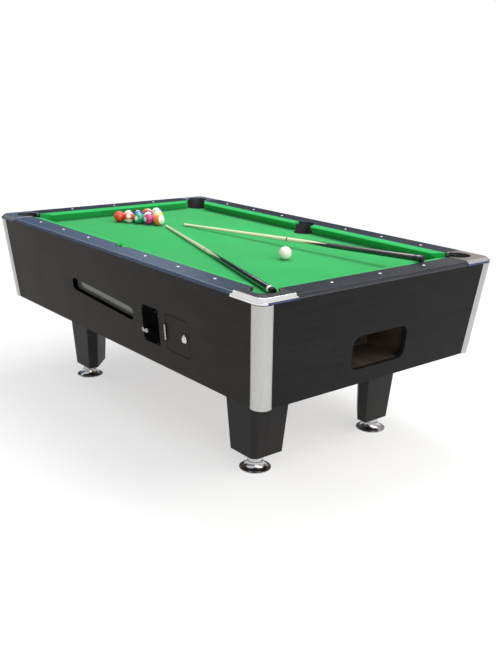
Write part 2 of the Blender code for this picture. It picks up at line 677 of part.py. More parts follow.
def make_coin_gear(looks, frame, panel):
    """Coin plate with its case, the slide that passes through it, and the gate that it draws back."""
    case_width = COIN_WIDTH - 2 * COIN_FLANGE
    case_height = COIN_HEIGHT - 2 * COIN_FLANGE
    hole = rounded_rectangle(case_width + 2 * RUNNING, case_height + 2 * RUNNING, COIN_FLANGE / 2, 2)
    tool = cut(panel, prism(hole, -2 * PANEL_THICKNESS, PANEL_THICKNESS), "coin_hole", frame)
    tool.location = (COIN_X, 0.0, 0.0)
    flange = rounded_rectangle(COIN_WIDTH, COIN_HEIGHT, COIN_FLANGE / 2, 2)
    case = rounded_rectangle(case_width, case_height, COIN_FLANGE / 2, 2)
    rings = []
    for outline, z in ((case, -COIN_CASE_DEPTH), (case, GAP), (flange, GAP),
                       (flange, GAP + COIN_PLATE_THICKNESS)):
        rings.append([(x, y, z) for x, y in outline])
    plate = add_object("coin_plate", loft(rings), looks["black"], frame)
    plate.location = (COIN_X, 0.0, 0.0)
    half_width = SLIDE_WIDTH / 2 + RUNNING
    half_height = SLIDE_HEIGHT / 2 + RUNNING
    bore = prism(rectangle(-half_width, -half_height, half_width, half_height),
                 -2 * COIN_CASE_DEPTH, COIN_CASE_DEPTH)
    tool = cut(plate, bore, "slide_way", frame)
    tool.location = (COIN_X, -SLIDE_DROP, 0.0)

    tongue = rectangle(-SLIDE_WIDTH / 2, -SLIDE_HEIGHT / 2, SLIDE_WIDTH / 2, SLIDE_HEIGHT / 2)
    grip = rectangle(-SLIDE_GRIP_WIDTH / 2, -SLIDE_GRIP_HEIGHT / 2, SLIDE_GRIP_WIDTH / 2,
                     SLIDE_GRIP_HEIGHT / 2)
    tail = COIN_CASE_DEPTH + SLIDE_TRAVEL + RUNNING
    post = rod_level() + ROD_HEIGHT
    post_start = -COIN_CASE_DEPTH - RUNNING
    upright = rectangle(-SLIDE_WIDTH / 2, -SLIDE_HEIGHT / 2, SLIDE_WIDTH / 2, post)
    rings = []
    for outline, z in ((upright, -tail), (upright, post_start), (tongue, post_start), (tongue, SLIDE_OUT),
                       (grip, SLIDE_OUT), (grip, SLIDE_OUT + SLIDE_GRIP_THICKNESS)):
        rings.append([(x, y, z) for x, y in outline])
    slide = add_object("coin_slide", loft(rings), looks["chrome"], frame)
    slide.location = (COIN_X, -SLIDE_DROP, 0.0)

    near, far, floor_z = chute_at(COIN_X)
    face_y = HALF_WIDTH - inset_at(FACE_Z)
    wall_run = (far + face_y) / math.cos(LEAN_ANGLE)
    gate_start = wall_run - SLIDE_TRAVEL
    gate_low = (floor_z + GATE_FLOOR_GAP - FACE_Z - gate_start * math.sin(LEAN_ANGLE)) / math.cos(LEAN_ANGLE)
    gate_low += SLIDE_DROP
    low = rod_level()
    high = low + ROD_HEIGHT - GAP
    start = tail + GAP
    side_view = [(start, low), (gate_start, low), (gate_start, gate_low),
                 (gate_start + GATE_DEPTH, gate_low), (gate_start + GATE_DEPTH, high), (start, high)]
    rings = []
    for x in (-GATE_THICKNESS / 2, GATE_THICKNESS / 2):
        rings.append([(x, up, -run) for run, up in side_view])
    gate = add_object("trap_gate", loft(rings), looks["steel"], frame)
    gate.location = (COIN_X, -SLIDE_DROP, 0.0)


def make_cash_door(looks, frame, panel):
    """Hinged steel door with its hinge and turning lock."""
    hole = rounded_rectangle(DOOR_WIDTH + 2 * DOOR_GAP, DOOR_HEIGHT + 2 * DOOR_GAP, DOOR_RADIUS + DOOR_GAP)
    tool = cut(panel, prism(hole, -2 * PANEL_THICKNESS, PANEL_THICKNESS), "door_hole", frame)
    tool.location = (DOOR_X, 0.0, 0.0)
    pin_x = DOOR_X - DOOR_WIDTH / 2 - DOOR_GAP / 2
    pin_out = HINGE_RADIUS + RUNNING
    plate = rounded_rectangle(DOOR_WIDTH, DOOR_HEIGHT, DOOR_RADIUS, 4, (DOOR_X - pin_x, 0.0))
    door = add_object("cash_door", prism(plate, -pin_out - DOOR_THICKNESS, -pin_out), looks["steel"], frame)
    door.location = (pin_x, 0.0, pin_out)
    lock_x = DOOR_X + DOOR_WIDTH / 2 - LOCK_FROM_EDGE
    bore = LOCK_BARREL_RADIUS + RUNNING
    tool = cut(door, turned([(0.0, -PANEL_THICKNESS), (bore, -PANEL_THICKNESS), (bore, PANEL_THICKNESS),
                             (0.0, PANEL_THICKNESS)], 16), "lock_hole", frame)
    tool.location = (lock_x, 0.0, 0.0)

    half = HINGE_LENGTH / 2
    leaf = 2 * HINGE_RADIUS
    profile = arc((0.0, 0.0), HINGE_RADIUS, 90, -90, 6)
    profile += [(-HINGE_LEAF, -HINGE_RADIUS), (-HINGE_LEAF, -HINGE_RADIUS + leaf / 4),
                (-HINGE_RADIUS, 0.0)]
    rings = []
    for y in (-half, half):
        rings.append([(x, y, z) for x, z in profile])
    hinge = add_object("door_hinge", loft(rings), looks["chrome"], frame, smooth=40)
    hinge.location = (pin_x - DOOR_GAP, 0.0, HINGE_RADIUS + GAP)

    depth = PANEL_THICKNESS * math.cos(LEAN_ANGLE) + CAM_BEHIND
    head = LOCK_HEAD_RADIUS
    barrel = LOCK_BARREL_RADIUS
    profile = [(0.0, -depth), (barrel, -depth), (barrel, GAP), (head, GAP), (head, LOCK_RIM_HEIGHT),
               (LOCK_FACE_RADIUS, LOCK_HEAD_HEIGHT), (0.0, LOCK_HEAD_HEIGHT)]
    lock = add_object("door_lock", turned(profile, 16), looks["chrome"], frame, smooth=40)
    lock.location = (lock_x, 0.0, 0.0)
    cam = prism(rectangle(-CAM_WIDTH / 2, -CAM_LENGTH, CAM_WIDTH / 2, CAM_WIDTH / 2),
                -depth - CAM_THICKNESS, -depth + CAM_BEHIND / 2)
    tool = add_object("lock_cam", cam, looks["chrome"], frame)
    tool.location = lock.location
    tool.hide_render = True
    tool.display_type = "WIRE"
    step = lock.modifiers.new("cam", "BOOLEAN")
    step.operation = "UNION"
    step.solver = "EXACT"
    step.object = tool


def make_cash_box(looks):
    """Open steel box behind the door, on a shelf fixed to the panel's back."""
    shelf_top = FACE_Z - DOOR_HEIGHT / 2 + DOOR_GAP
    flange_low = shelf_top - SHELF_FLANGE
    wall = SHELF_THICKNESS
    front_low = -inner_y(flange_low) + GAP
    front_top = -inner_y(shelf_top) + GAP
    front_y = front_top + CASH_BOX_FROM_PANEL
    back_y = front_y + CASH_BOX_DEPTH
    section = [(front_low, flange_low), (front_low + wall, flange_low), (front_top + wall, shelf_top - wall),
               (back_y, shelf_top - wall), (back_y, shelf_top), (front_top, shelf_top)]
    half = CASH_BOX_WIDTH / 2 + SHELF_MARGIN
    rings = [[(x, y, z) for y, z in section] for x in (DOOR_X - half, DOOR_X + half)]
    add_object("cash_shelf", loft(rings), looks["steel"])
    low = shelf_top + GAP
    half = CASH_BOX_WIDTH / 2
    outline = rectangle(DOOR_X - half, front_y, DOOR_X + half, back_y)
    box = add_object("cash_box", prism(outline, low, low + CASH_BOX_HEIGHT), looks["steel"])
    wall = CASH_BOX_WALL
    hollow = rectangle(DOOR_X - half + wall, front_y + wall, DOOR_X + half - wall, back_y - wall)
    cut(box, prism(hollow, low + wall, low + 2 * CASH_BOX_HEIGHT), "cash_space")


def channel(start, end, z_start, z_end, wall_height):
    """Open channel between two plan edges, each a pair of outer corners; z is the floor's top."""
    rings = []
    for (left, right), z in ((start, z_start), (end, z_end)):
        left = Vector(left)
        right = Vector(right)
        along = (right - left).normalized() * CHANNEL_WALL
        low = z - CHANNEL_WALL
        high = z + wall_height
        ring = [(*left, low), (*right, low), (*right, high), (*(right - along), high),
                (*(right - along), z), (*(left + along), z), (*(left + along), high), (*left, high)]
        rings.append(ring)
    return loft(rings)


def tray_floor(x):
    """Top of the tray's floor, level with the window's slope."""
    middle = WINDOW_Z - BALL_RADIUS
    return middle - math.tan(WINDOW_SLOPE) * (x - WINDOW_X)


def tray_front():
    """Outer front face of the tray, clear of the pane at the tray's lowest end."""
    z = tray_floor(TRAY_END_X) - CHANNEL_WALL
    return -(inner_y(z) - PANE_THICKNESS - TRAY_PANE_CLEARANCE)


def chute_floor(share):
    """Top of the chute's floor at a share of its length."""
    return tray_floor(TRAY_END_X) - CHUTE_STEP - CHUTE_FALL * share


def chute_edges():
    """Plan corners of the chute: from the tray's back to the return box's back."""
    y = tray_front() + TRAY_WIDTH + GAP
    box_x = return_box_back() - GAP
    run = box_x - TRAY_END_X
    rise = (RETURN_Y - RETURN_WIDTH / 3) - y
    slope = rise / run
    start = ((TRAY_END_X - CHUTE_WIDTH, y), (TRAY_END_X, y))
    left_y = y + slope * (box_x - start[0][0])
    right_y = y + slope * (box_x - start[1][0])
    return start, ((box_x, left_y), (box_x, right_y)), slope


def chute_at(x):
    """Near and far inner sides of the chute, and its floor, where it passes an x."""
    start, end, slope = chute_edges()
    near = start[1][1] + slope * (x - start[1][0])
    far = start[0][1] + slope * (x - start[0][0]) - CHANNEL_WALL * math.hypot(1.0, slope)
    middle = (start[0][0] + start[1][0]) / 2
    share = (x - middle) / (end[0][0] - middle)
    return near, far, chute_floor(share)


def make_ball_run(looks):
    """Gutters under the pockets, the tray behind the window and the chute to the return box."""
    front_y = -(inner_y(GUTTER_LOW_Z - CHANNEL_WALL) - GAP)
    round_corner = CORNER_RADIUS - PANEL_THICKNESS
    foot_x = inner_x(GUTTER_LOW_Z - CHANNEL_WALL) - round_corner - GAP
    head_x = -(inner_x(HEAD_GUTTER_LOW_Z - CHANNEL_WALL) - GAP)
    back_y = front_y + GUTTER_WIDTH
    data = channel(((foot_x, front_y), (foot_x, back_y)),
                   ((FRONT_GUTTER_END_X, front_y), (FRONT_GUTTER_END_X, back_y)),
                   GUTTER_HIGH_Z, GUTTER_LOW_Z, GUTTER_WALL_HEIGHT)
    add_object("front_gutter", data, looks["black"])
    data = channel(((foot_x, -back_y), (foot_x, -front_y)), ((-foot_x, -back_y), (-foot_x, -front_y)),
                   GUTTER_HIGH_Z, GUTTER_LOW_Z, GUTTER_WALL_HEIGHT)
    rear = add_object("rear_gutter", data, looks["black"])
    exit_x = head_x + HEAD_GUTTER_WIDTH
    notch = rectangle(2 * head_x, -back_y - CHANNEL_WALL, exit_x - CHANNEL_WALL, -back_y + 2 * CHANNEL_WALL)
    high = GUTTER_HIGH_Z + 2 * GUTTER_WALL_HEIGHT
    cut(rear, prism(notch, GUTTER_LOW_Z + CHANNEL_WALL / 2, high), "rear_exit")
    tray_y = tray_front()
    inner_tray = tray_y + TRAY_WIDTH
    data = channel(((exit_x, -back_y - GAP), (head_x, -back_y - GAP)),
                   ((exit_x, inner_tray + GAP), (head_x, inner_tray + GAP)),
                   HEAD_GUTTER_HIGH_Z, HEAD_GUTTER_LOW_Z, GUTTER_WALL_HEIGHT)
    add_object("head_gutter", data, looks["black"])

    start_x = -(inner_x(tray_floor(-HALF_LENGTH)) - 2 * CHANNEL_WALL)
    start_z = tray_floor(start_x)
    end_z = tray_floor(TRAY_END_X)
    rings = []
    for x, z in ((start_x, start_z), (TRAY_END_X, end_z)):
        low = z - CHANNEL_WALL
        high = z + TRAY_WALL_HEIGHT
        rings.append([(x, tray_y, low), (x, inner_tray, low), (x, inner_tray, high), (x, tray_y, high)])
    tray = add_object("ball_tray", loft(rings), looks["black"])
    wall = CHANNEL_WALL
    rings = []
    for x in (start_x - wall, TRAY_END_X - wall):
        z = tray_floor(x)
        high = z + 2 * TRAY_WALL_HEIGHT
        rings.append([(x, tray_y + wall, z), (x, inner_tray - wall, z), (x, inner_tray - wall, high),
                      (x, tray_y + wall, high)])
    cut(tray, loft(rings), "tray_space")
    rings = []
    for x in (TRAY_END_X - CHUTE_WIDTH + wall, TRAY_END_X - wall):
        z = tray_floor(x) + wall / 4
        high = z + 2 * TRAY_WALL_HEIGHT
        rings.append([(x, inner_tray - 2 * wall, z), (x, inner_tray + wall, z), (x, inner_tray + wall, high),
                      (x, inner_tray - 2 * wall, high)])
    cut(tray, loft(rings), "tray_exit")

    start, end, _ = chute_edges()
    data = channel(start, end, chute_floor(0.0), chute_floor(1.0), TRAY_WALL_HEIGHT)
    add_object("return_chute", data, looks["black"])


def return_box_back():
    return inner_x(RETURN_Z) - RETURN_BOX_DEPTH


def make_return(looks, panel):
    """Opening in the foot end and the wooden box behind it."""
    outline = rounded_rectangle(RETURN_WIDTH, RETURN_HEIGHT, RETURN_RADIUS, 5)
    rings = []
    for x in (HALF_LENGTH - 2 * PANEL_BOTTOM_INSET - PANEL_THICKNESS, HALF_LENGTH + PANEL_THICKNESS):
        rings.append([(x, RETURN_Y + across, RETURN_Z + up) for across, up in outline])
    cut(panel, loft(rings), "return_opening")
    wall = RETURN_BOX_WALL
    half = RETURN_WIDTH / 2 + RETURN_BOX_MARGIN
    floor_z = RETURN_Z - RETURN_HEIGHT / 2 - GAP
    low = floor_z - wall
    high = RETURN_Z + RETURN_HEIGHT / 2 + RETURN_BOX_MARGIN
    back = return_box_back()
    outlines = []
    for z in (low, high):
        front = inner_x(z) - GAP
        outlines.append(rectangle(back, RETURN_Y - half - wall, front, RETURN_Y + half + wall))
    box = add_object("return_box", prism(outlines[0], low, high, outlines[1]), looks["board"])
    hollow = rectangle(back + wall, RETURN_Y - half, HALF_LENGTH, RETURN_Y + half)
    cut(box, prism(hollow, floor_z, high + wall), "return_space")
    _, end, _ = chute_edges()
    hole = rectangle(back - wall, end[1][1], back + 2 * wall, end[0][1])
    entry_z = chute_floor(1.0)
    cut(box, prism(hole, entry_z - CHANNEL_WALL, entry_z + BALL_DIAMETER + wall), "ball_entry")


def ball_at(x, y, rows=8):
    data = bmesh.new()
    place = Matrix.Translation((x, y, BED_Z + BALL_RADIUS + GAP))
    bmesh.ops.create_uvsphere(data, u_segments=12, v_segments=rows, radius=BALL_RADIUS, matrix=place)
    return data


def make_rack(looks):
    """Fifteen racked balls, held together at their touching points as one piece."""
    pitch = RACK_PITCH
    row_step = RACK_ROW_STEP
    rest = bpy.data.collections.new("rack_rest")
    bpy.context.scene.collection.children.link(rest)
    rack = add_object("object_balls", ball_at(RACK_APEX_X, 0.0), looks["balls"], smooth=180)

    def hold(name, data):
        guide = add_object(name, data, looks["balls"])
        bpy.context.scene.collection.objects.unlink(guide)
        rest.objects.link(guide)
        guide.hide_render = True
        guide.display_type = "WIRE"
        return guide

    for row in range(1, RACK_ROWS):
        for place in range(row + 1):
            x = RACK_APEX_X - row * row_step
            y = (place - row / 2) * pitch
            hold("ball_%d_%d" % (row, place), ball_at(x, y))
            up = -1 if place == row else 1
            link = turned([(0.0, -NECK_RADIUS), (NECK_RADIUS, -NECK_RADIUS), (NECK_RADIUS, NECK_RADIUS),
                           (0.0, NECK_RADIUS)], 6)
            neck = hold("neck_%d_%d" % (row, place), link)
            neck.location = (x + row_step / 2, y + up * pitch / 4, BED_Z + BALL_RADIUS + GAP)
            neck.rotation_euler = (0.0, math.pi / 2, up * math.pi / 6)
    step = rack.modifiers.new("rack", "BOOLEAN")
    step.operation = "UNION"
    step.solver = "EXACT"
    step.operand_type = "COLLECTION"
    step.collection = rest


def cue_radius(along):
    """Radius of a cue at a distance from its tip."""
    share = max(0.0, along - CUE_STRAIGHT) / (CUE_LENGTH - CUE_STRAIGHT)
    return CUE_TIP_RADIUS + (CUE_BUTT_RADIUS - CUE_TIP_RADIUS) * share


def make_cue(name, looks, tip, way, rest_z):
    """Cue with its tip on the cloth, given from the rack's first ball, and its butt towards a direction.

    It lies on the cloth, or leans on the foot rail's inner edge where the bed is too short for it.
    """
    profile = [(0.0, 0.0), (CUE_TIP_RADIUS, 0.0), (CUE_TIP_RADIUS, CUE_STRAIGHT),
               (CUE_BUTT_RADIUS, CUE_LENGTH), (0.0, CUE_LENGTH)]
    cue = add_object(name, turned(profile, 12), looks["maple"], smooth=40)
    start = Vector((RACK_APEX_X + tip[0], tip[1], BED_Z + CUE_TIP_RADIUS + GAP))
    run = (HALF_LENGTH - RAIL_TOP_WIDTH - start.x) / math.cos(way)
    if CUE_LENGTH + CUE_BUTT_RADIUS < run - CUSHION_DEPTH / math.cos(way):
        run = CUE_LENGTH
        rest_z = BED_Z
    rise = rest_z + cue_radius(run) + 2 * GAP - start.z
    direction = Vector((math.cos(way) * run, math.sin(way) * run, rise))
    cue.rotation_mode = "QUATERNION"
    cue.rotation_quaternion = direction.to_track_quat("Z", "Y")
    cue.location = start


def make_game_set(looks):
    add_object("cue_ball", ball_at(CUE_BALL_X, 0.0), looks["ivory"], smooth=180)
    make_rack(looks)
    make_cue("cue_front", looks, CUE_FRONT_TIP, CUE_FRONT_WAY, RAIL_TOP_Z + CAP_RISE)
    make_cue("cue_rear", looks, CUE_REAR_TIP, CUE_REAR_WAY, RAIL_TOP_Z)


def main():
    clear_scene()
    looks = make_finishes()
    panels = make_cabinet(looks)
    make_legs(looks)
    make_bed(looks)
    make_rails(looks)
    make_cushions(looks)
    make_caps(looks)
    make_liners(looks)
    frame = front_frame()
    make_window(looks, frame, panels["front"])
    make_coin_gear(looks, frame, panels["front"])
    make_cash_door(looks, frame, panels["front"])
    make_cash_box(looks)
    make_ball_run(looks)
    make_return(looks, panels["foot"])
    make_game_set(looks)


main()
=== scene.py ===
"""Looks of the coin-operated pool table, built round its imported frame.

Metres, +Z up, in the frame's own axes: +X runs along the table to the end with the ball return
opening, and the side with the window and the coin gear faces -Y.
"""
import json
import math

import bmesh
import bpy
import numpy as np
from mathutils import Matrix, Vector

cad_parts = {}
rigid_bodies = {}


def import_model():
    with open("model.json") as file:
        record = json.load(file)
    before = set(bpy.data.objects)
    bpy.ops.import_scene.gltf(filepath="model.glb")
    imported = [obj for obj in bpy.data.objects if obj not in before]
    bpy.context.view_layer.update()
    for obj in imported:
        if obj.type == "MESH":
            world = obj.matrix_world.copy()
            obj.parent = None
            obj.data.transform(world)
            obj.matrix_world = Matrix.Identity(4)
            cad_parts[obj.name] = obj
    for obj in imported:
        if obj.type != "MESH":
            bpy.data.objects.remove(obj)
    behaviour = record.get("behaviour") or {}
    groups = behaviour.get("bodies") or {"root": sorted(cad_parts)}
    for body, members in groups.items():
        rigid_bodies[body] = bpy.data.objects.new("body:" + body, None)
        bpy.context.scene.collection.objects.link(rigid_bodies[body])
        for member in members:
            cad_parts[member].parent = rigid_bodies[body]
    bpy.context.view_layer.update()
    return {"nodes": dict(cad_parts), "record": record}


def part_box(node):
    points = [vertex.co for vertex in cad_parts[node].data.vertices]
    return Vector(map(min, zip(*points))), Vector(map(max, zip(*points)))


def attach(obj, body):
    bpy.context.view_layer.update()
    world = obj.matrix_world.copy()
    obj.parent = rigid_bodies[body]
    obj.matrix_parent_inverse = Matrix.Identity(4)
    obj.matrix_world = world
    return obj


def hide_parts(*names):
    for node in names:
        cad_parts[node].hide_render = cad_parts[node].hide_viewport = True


for old in list(bpy.data.objects):
    bpy.data.objects.remove(old, do_unlink=True)
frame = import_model()
NODES = frame["nodes"]
BODY_OF = {}
for body_name, body_nodes in frame["record"]["behaviour"]["bodies"].items():
    for node_name in body_nodes:
        BODY_OF[node_name] = body_name


def middle_of(node, axis):
    """Middle of a node's box along an axis, 0 for X to 2 for Z."""
    return sum(corner[axis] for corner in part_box(node)) / 2


# Places read from the frame
HALF_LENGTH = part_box("top_rail_foot")[1].x
HALF_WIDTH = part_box("top_rail_rear")[1].y
RAIL_TOP_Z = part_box("top_rail_front")[1].z
BED_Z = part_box("bed_cloth")[1].z
CLOTH_LOW_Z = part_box("bed_cloth")[0].z
CABINET_LOW_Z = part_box("front_side_panel")[0].z
CABINET_HIGH_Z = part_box("front_side_panel")[1].z
LEG_LOW_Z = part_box("leg_foot_front")[0].z

# Cabinet
PANEL_THICKNESS = 0.022
CORNER_RADIUS = 0.049
PANEL_TOP_INSET = HALF_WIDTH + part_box("front_side_panel")[0].y
PANEL_LOW_INSET = HALF_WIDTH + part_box("front_side_panel")[1].y - PANEL_THICKNESS
LEAN = (PANEL_LOW_INSET - PANEL_TOP_INSET) / (CABINET_HIGH_Z - CABINET_LOW_Z)
LEAN_ANGLE = math.atan(LEAN)

# Bed, cushions and pockets
BED_INSET = HALF_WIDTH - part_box("bed_cloth")[1].y
CUSHION_BACK = 0.1003            # rail's outer edge to the cushion's back
CUSHION_DEPTH = 0.038
CORNER_BACK_END = 0.172          # table's corner to the cushion's back corner
CORNER_NOSE_END = CORNER_BACK_END + CUSHION_DEPTH * math.tan(math.radians(49))
SIDE_BACK_END = 0.056            # table's middle to the cushion's back corner
SIDE_NOSE_END = SIDE_BACK_END + CUSHION_DEPTH * math.tan(math.radians(9))
CORNER_POCKET_INSET = 0.105
CORNER_NOTCH_RADIUS = 0.0586
SIDE_POCKET_INSET = 0.118
SIDE_NOTCH_RADIUS = 0.0546

# Front panel's fittings, seen along the panel
FACE_Z = middle_of("cash_door", 2)
COIN_X = middle_of("coin_plate", 0)
LOCK_X = middle_of("door_lock", 0)
HINGE_PIN_INSET = 0.004          # hinge's edge to the line of its pin
HINGE_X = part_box("door_hinge")[1].x - HINGE_PIN_INSET
PANE_LOW, PANE_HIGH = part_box("window_pane")

# Game set
BALL_RADIUS = (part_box("cue_ball")[1].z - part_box("cue_ball")[0].z) / 2
BALL_Z = middle_of("cue_ball", 2)
CUE_BALL_X = middle_of("cue_ball", 0)
RACK_LOW, RACK_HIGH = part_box("object_balls")
RACK_ROWS = 5
RACK_APEX_X = RACK_HIGH.x - BALL_RADIUS
RACK_PITCH = (RACK_HIGH.y - RACK_LOW.y - 2 * BALL_RADIUS) / (RACK_ROWS - 1)
CUE_LENGTH = 1.430
CUE_STRAIGHT = 0.358             # tip to the start of the taper
CUE_TIP_RADIUS = 0.0065
CUE_BUTT_RADIUS = 0.0145

ENDS = {"head": -1, "foot": 1}
SIDES = {"front": -1, "rear": 1}
CORNERS = [(end, side) for end in ENDS for side in SIDES]


# Shader building

def put(tree, kind, feeds=None, **settings):
    """Add a node; feeds maps an input to a value or to the socket that feeds it."""
    node = tree.nodes.new(kind)
    for key, value in settings.items():
        setattr(node, key, value)
    for key, value in (feeds or {}).items():
        if isinstance(value, bpy.types.NodeSocket):
            tree.links.new(value, node.inputs[key])
        else:
            node.inputs[key].default_value = value
    return node


def calc(tree, operation, *values):
    """Result of one Math node on the given values."""
    return put(tree, "ShaderNodeMath", dict(enumerate(values)), operation=operation).outputs[0]


def spread(tree, value, low, high, to_low=0.0, to_high=1.0):
    """Carry a value smoothly from one range to another, held at both ends."""
    feeds = {0: value, 1: low, 2: high, 3: to_low, 4: to_high}
    return put(tree, "ShaderNodeMapRange", feeds, interpolation_type="SMOOTHSTEP").outputs[0]


def tint(tree, share, first, second):
    """Colour between two colours."""
    return put(tree, "ShaderNodeMix", {0: share, 6: first, 7: second}, data_type="RGBA").outputs[2]


def grey(value):
    """Plain grey as a socket's colour."""
    return (value, value, value, 1.0)


def mottle(tree, vector, scale, detail=3.0, roughness=0.55):
    """Cloudy noise about one half."""
    feeds = {"Vector": vector, "Scale": scale, "Detail": detail, "Roughness": roughness}
    return put(tree, "ShaderNodeTexNoise", feeds).outputs[0]


def new_group(name, inputs, outputs):
    """Empty shader group; inputs maps a title to a socket kind and its usual value."""
    tree = bpy.data.node_groups.new(name, "ShaderNodeTree")
    for title, (kind, value) in inputs.items():
        socket = tree.interface.new_socket(title, in_out="INPUT", socket_type="NodeSocket" + kind)
        if value is not None:
            socket.default_value = value
    for title in outputs:
        tree.interface.new_socket(title, in_out="OUTPUT", socket_type="NodeSocketFloat")
    given = tree.nodes.new("NodeGroupInput").outputs
    wanted = tree.nodes.new("NodeGroupOutput").inputs
    return tree, given, wanted


def make_streaks():
    """Long fine streaks along X with broad clouds, for laminate grain, boards and brushed metal."""
    tree, given, wanted = new_group(
        "streaks", {"Vector": ("Vector", None), "Fineness": ("Float", 80.0), "Stretch": ("Float", 12.0)},
        ("Streak", "Cloud"))
    parts = put(tree, "ShaderNodeSeparateXYZ", {0: given["Vector"]}).outputs
    along = calc(tree, "DIVIDE", parts[0], given["Stretch"])
    drawn = put(tree, "ShaderNodeCombineXYZ", {0: along, 1: parts[1], 2: parts[2]}).outputs[0]
    fine = mottle(tree, drawn, given["Fineness"], 6.0, 0.62)
    coarse = mottle(tree, drawn, calc(tree, "MULTIPLY", given["Fineness"], 0.22), 2.0, 0.5)
    both = calc(tree, "ADD", calc(tree, "MULTIPLY", fine, 0.65), calc(tree, "MULTIPLY", coarse, 0.35))
    tree.links.new(spread(tree, both, 0.32, 0.68), wanted["Streak"])
    cloud = mottle(tree, given["Vector"], calc(tree, "MULTIPLY", given["Fineness"], 0.06), 2.0, 0.5)
    tree.links.new(spread(tree, cloud, 0.3, 0.7), wanted["Cloud"])
    return tree


def make_handling():
    """Smudges and short scratches that handling leaves on a smooth face."""
    tree, given, wanted = new_group(
        "handling", {"Vector": ("Vector", None), "Size": ("Float", 9.0)}, ("Smudge", "Scratch"))
    smudge = mottle(tree, given["Vector"], given["Size"], 4.0, 0.6)
    tree.links.new(spread(tree, smudge, 0.42, 0.72), wanted["Smudge"])
    feeds = {"Vector": given["Vector"], "Scale": calc(tree, "MULTIPLY", given["Size"], 3.0)}
    cells = put(tree, "ShaderNodeTexVoronoi", feeds, feature="DISTANCE_TO_EDGE").outputs[0]
    line = spread(tree, cells, 0.0, 0.012, 1.0, 0.0)
    patch = mottle(tree, given["Vector"], calc(tree, "MULTIPLY", given["Size"], 1.7), 2.0, 0.5)
    tree.links.new(calc(tree, "MULTIPLY", line, spread(tree, patch, 0.58, 0.72)), wanted["Scratch"])
    return tree


def make_weave():
    """Plain weave under a brushed nap, on a flat map in metres."""
    tree, given, wanted = new_group(
        "weave", {"Vector": ("Vector", None), "Pitch": ("Float", 0.0009)}, ("Thread", "Nap", "Cloud"))
    parts = put(tree, "ShaderNodeSeparateXYZ", {0: given["Vector"]}).outputs
    turn = calc(tree, "DIVIDE", 2 * math.pi, given["Pitch"])
    warp = calc(tree, "SINE", calc(tree, "MULTIPLY", parts[0], turn))
    weft = calc(tree, "SINE", calc(tree, "MULTIPLY", parts[1], turn))
    crossing = calc(tree, "MULTIPLY", warp, weft)
    tree.links.new(spread(tree, crossing, -1.0, 1.0), wanted["Thread"])
    nap = mottle(tree, given["Vector"], calc(tree, "DIVIDE", 0.45, given["Pitch"]), 4.0, 0.7)
    tree.links.new(spread(tree, nap, 0.3, 0.7), wanted["Nap"])
    cloud = mottle(tree, given["Vector"], calc(tree, "DIVIDE", 0.004, given["Pitch"]), 3.0, 0.5)
    tree.links.new(spread(tree, cloud, 0.25, 0.75), wanted["Cloud"])
    return tree


def make_edge_wear():
    """Broken wear along edges, from a value that is high on the edges."""
    tree, given, wanted = new_group(
        "edge_wear", {"Vector": ("Vector", None), "Edge": ("Float", 0.0), "Amount": ("Float", 0.5)}, ("Worn",))
    rough = mottle(tree, given["Vector"], 60.0, 5.0, 0.65)
    broken = spread(tree, rough, calc(tree, "SUBTRACT", 0.85, given["Amount"]), 0.8)
    tree.links.new(calc(tree, "MULTIPLY", given["Edge"], broken), wanted["Worn"])
    return tree


STREAKS = make_streaks()
HANDLING = make_handling()
WEAVE = make_weave()
EDGE_WEAR = make_edge_wear()


def use(tree, group, **feeds):
    """Place a shader group with its own values."""
    return put(tree, "ShaderNodeGroup", feeds, node_tree=group).outputs


def new_material(name, **sockets):
    """Material with a Principled shader; sockets gives plain values, with _ for a space."""
    material = bpy.data.materials.new(name)
    material.use_nodes = True
    tree = material.node_tree
    shader = tree.nodes["Principled BSDF"]
    for title, value in sockets.items():
        shader.inputs[title.replace("_", " ")].default_value = value
    return material, tree, shader


def set_look(tree, shader, colour=None, roughness=None, height=None, depth=0.0002):
    """Join a material's colour, roughness and relief to its shader."""
    if colour is not None:
        tree.links.new(colour, shader.inputs["Base Color"])
    if roughness is not None:
        tree.links.new(roughness, shader.inputs["Roughness"])
    if height is not None:
        bump = put(tree, "ShaderNodeBump", {"Height": height, "Distance": depth, "Strength": 1.0})
        tree.links.new(bump.outputs[0], shader.inputs["Normal"])


def on_object(tree, turn=(0.0, 0.0, 0.0)):
    """Object coordinates, turned so that a grain along X runs another way."""
    place = put(tree, "ShaderNodeTexCoord").outputs["Object"]
    if not any(turn):
        return place
    return put(tree, "ShaderNodeMapping", {"Vector": place, "Rotation": turn}).outputs[0]


def edge_value(tree):
    """Value that soften leaves on rounded edges."""
    return put(tree, "ShaderNodeAttribute", attribute_name="wear").outputs["Fac"]


ALONG_X = (0.0, 0.0, 0.0)
ALONG_Y = (0.0, 0.0, -math.pi / 2)
ALONG_Z = (0.0, math.pi / 2, 0.0)


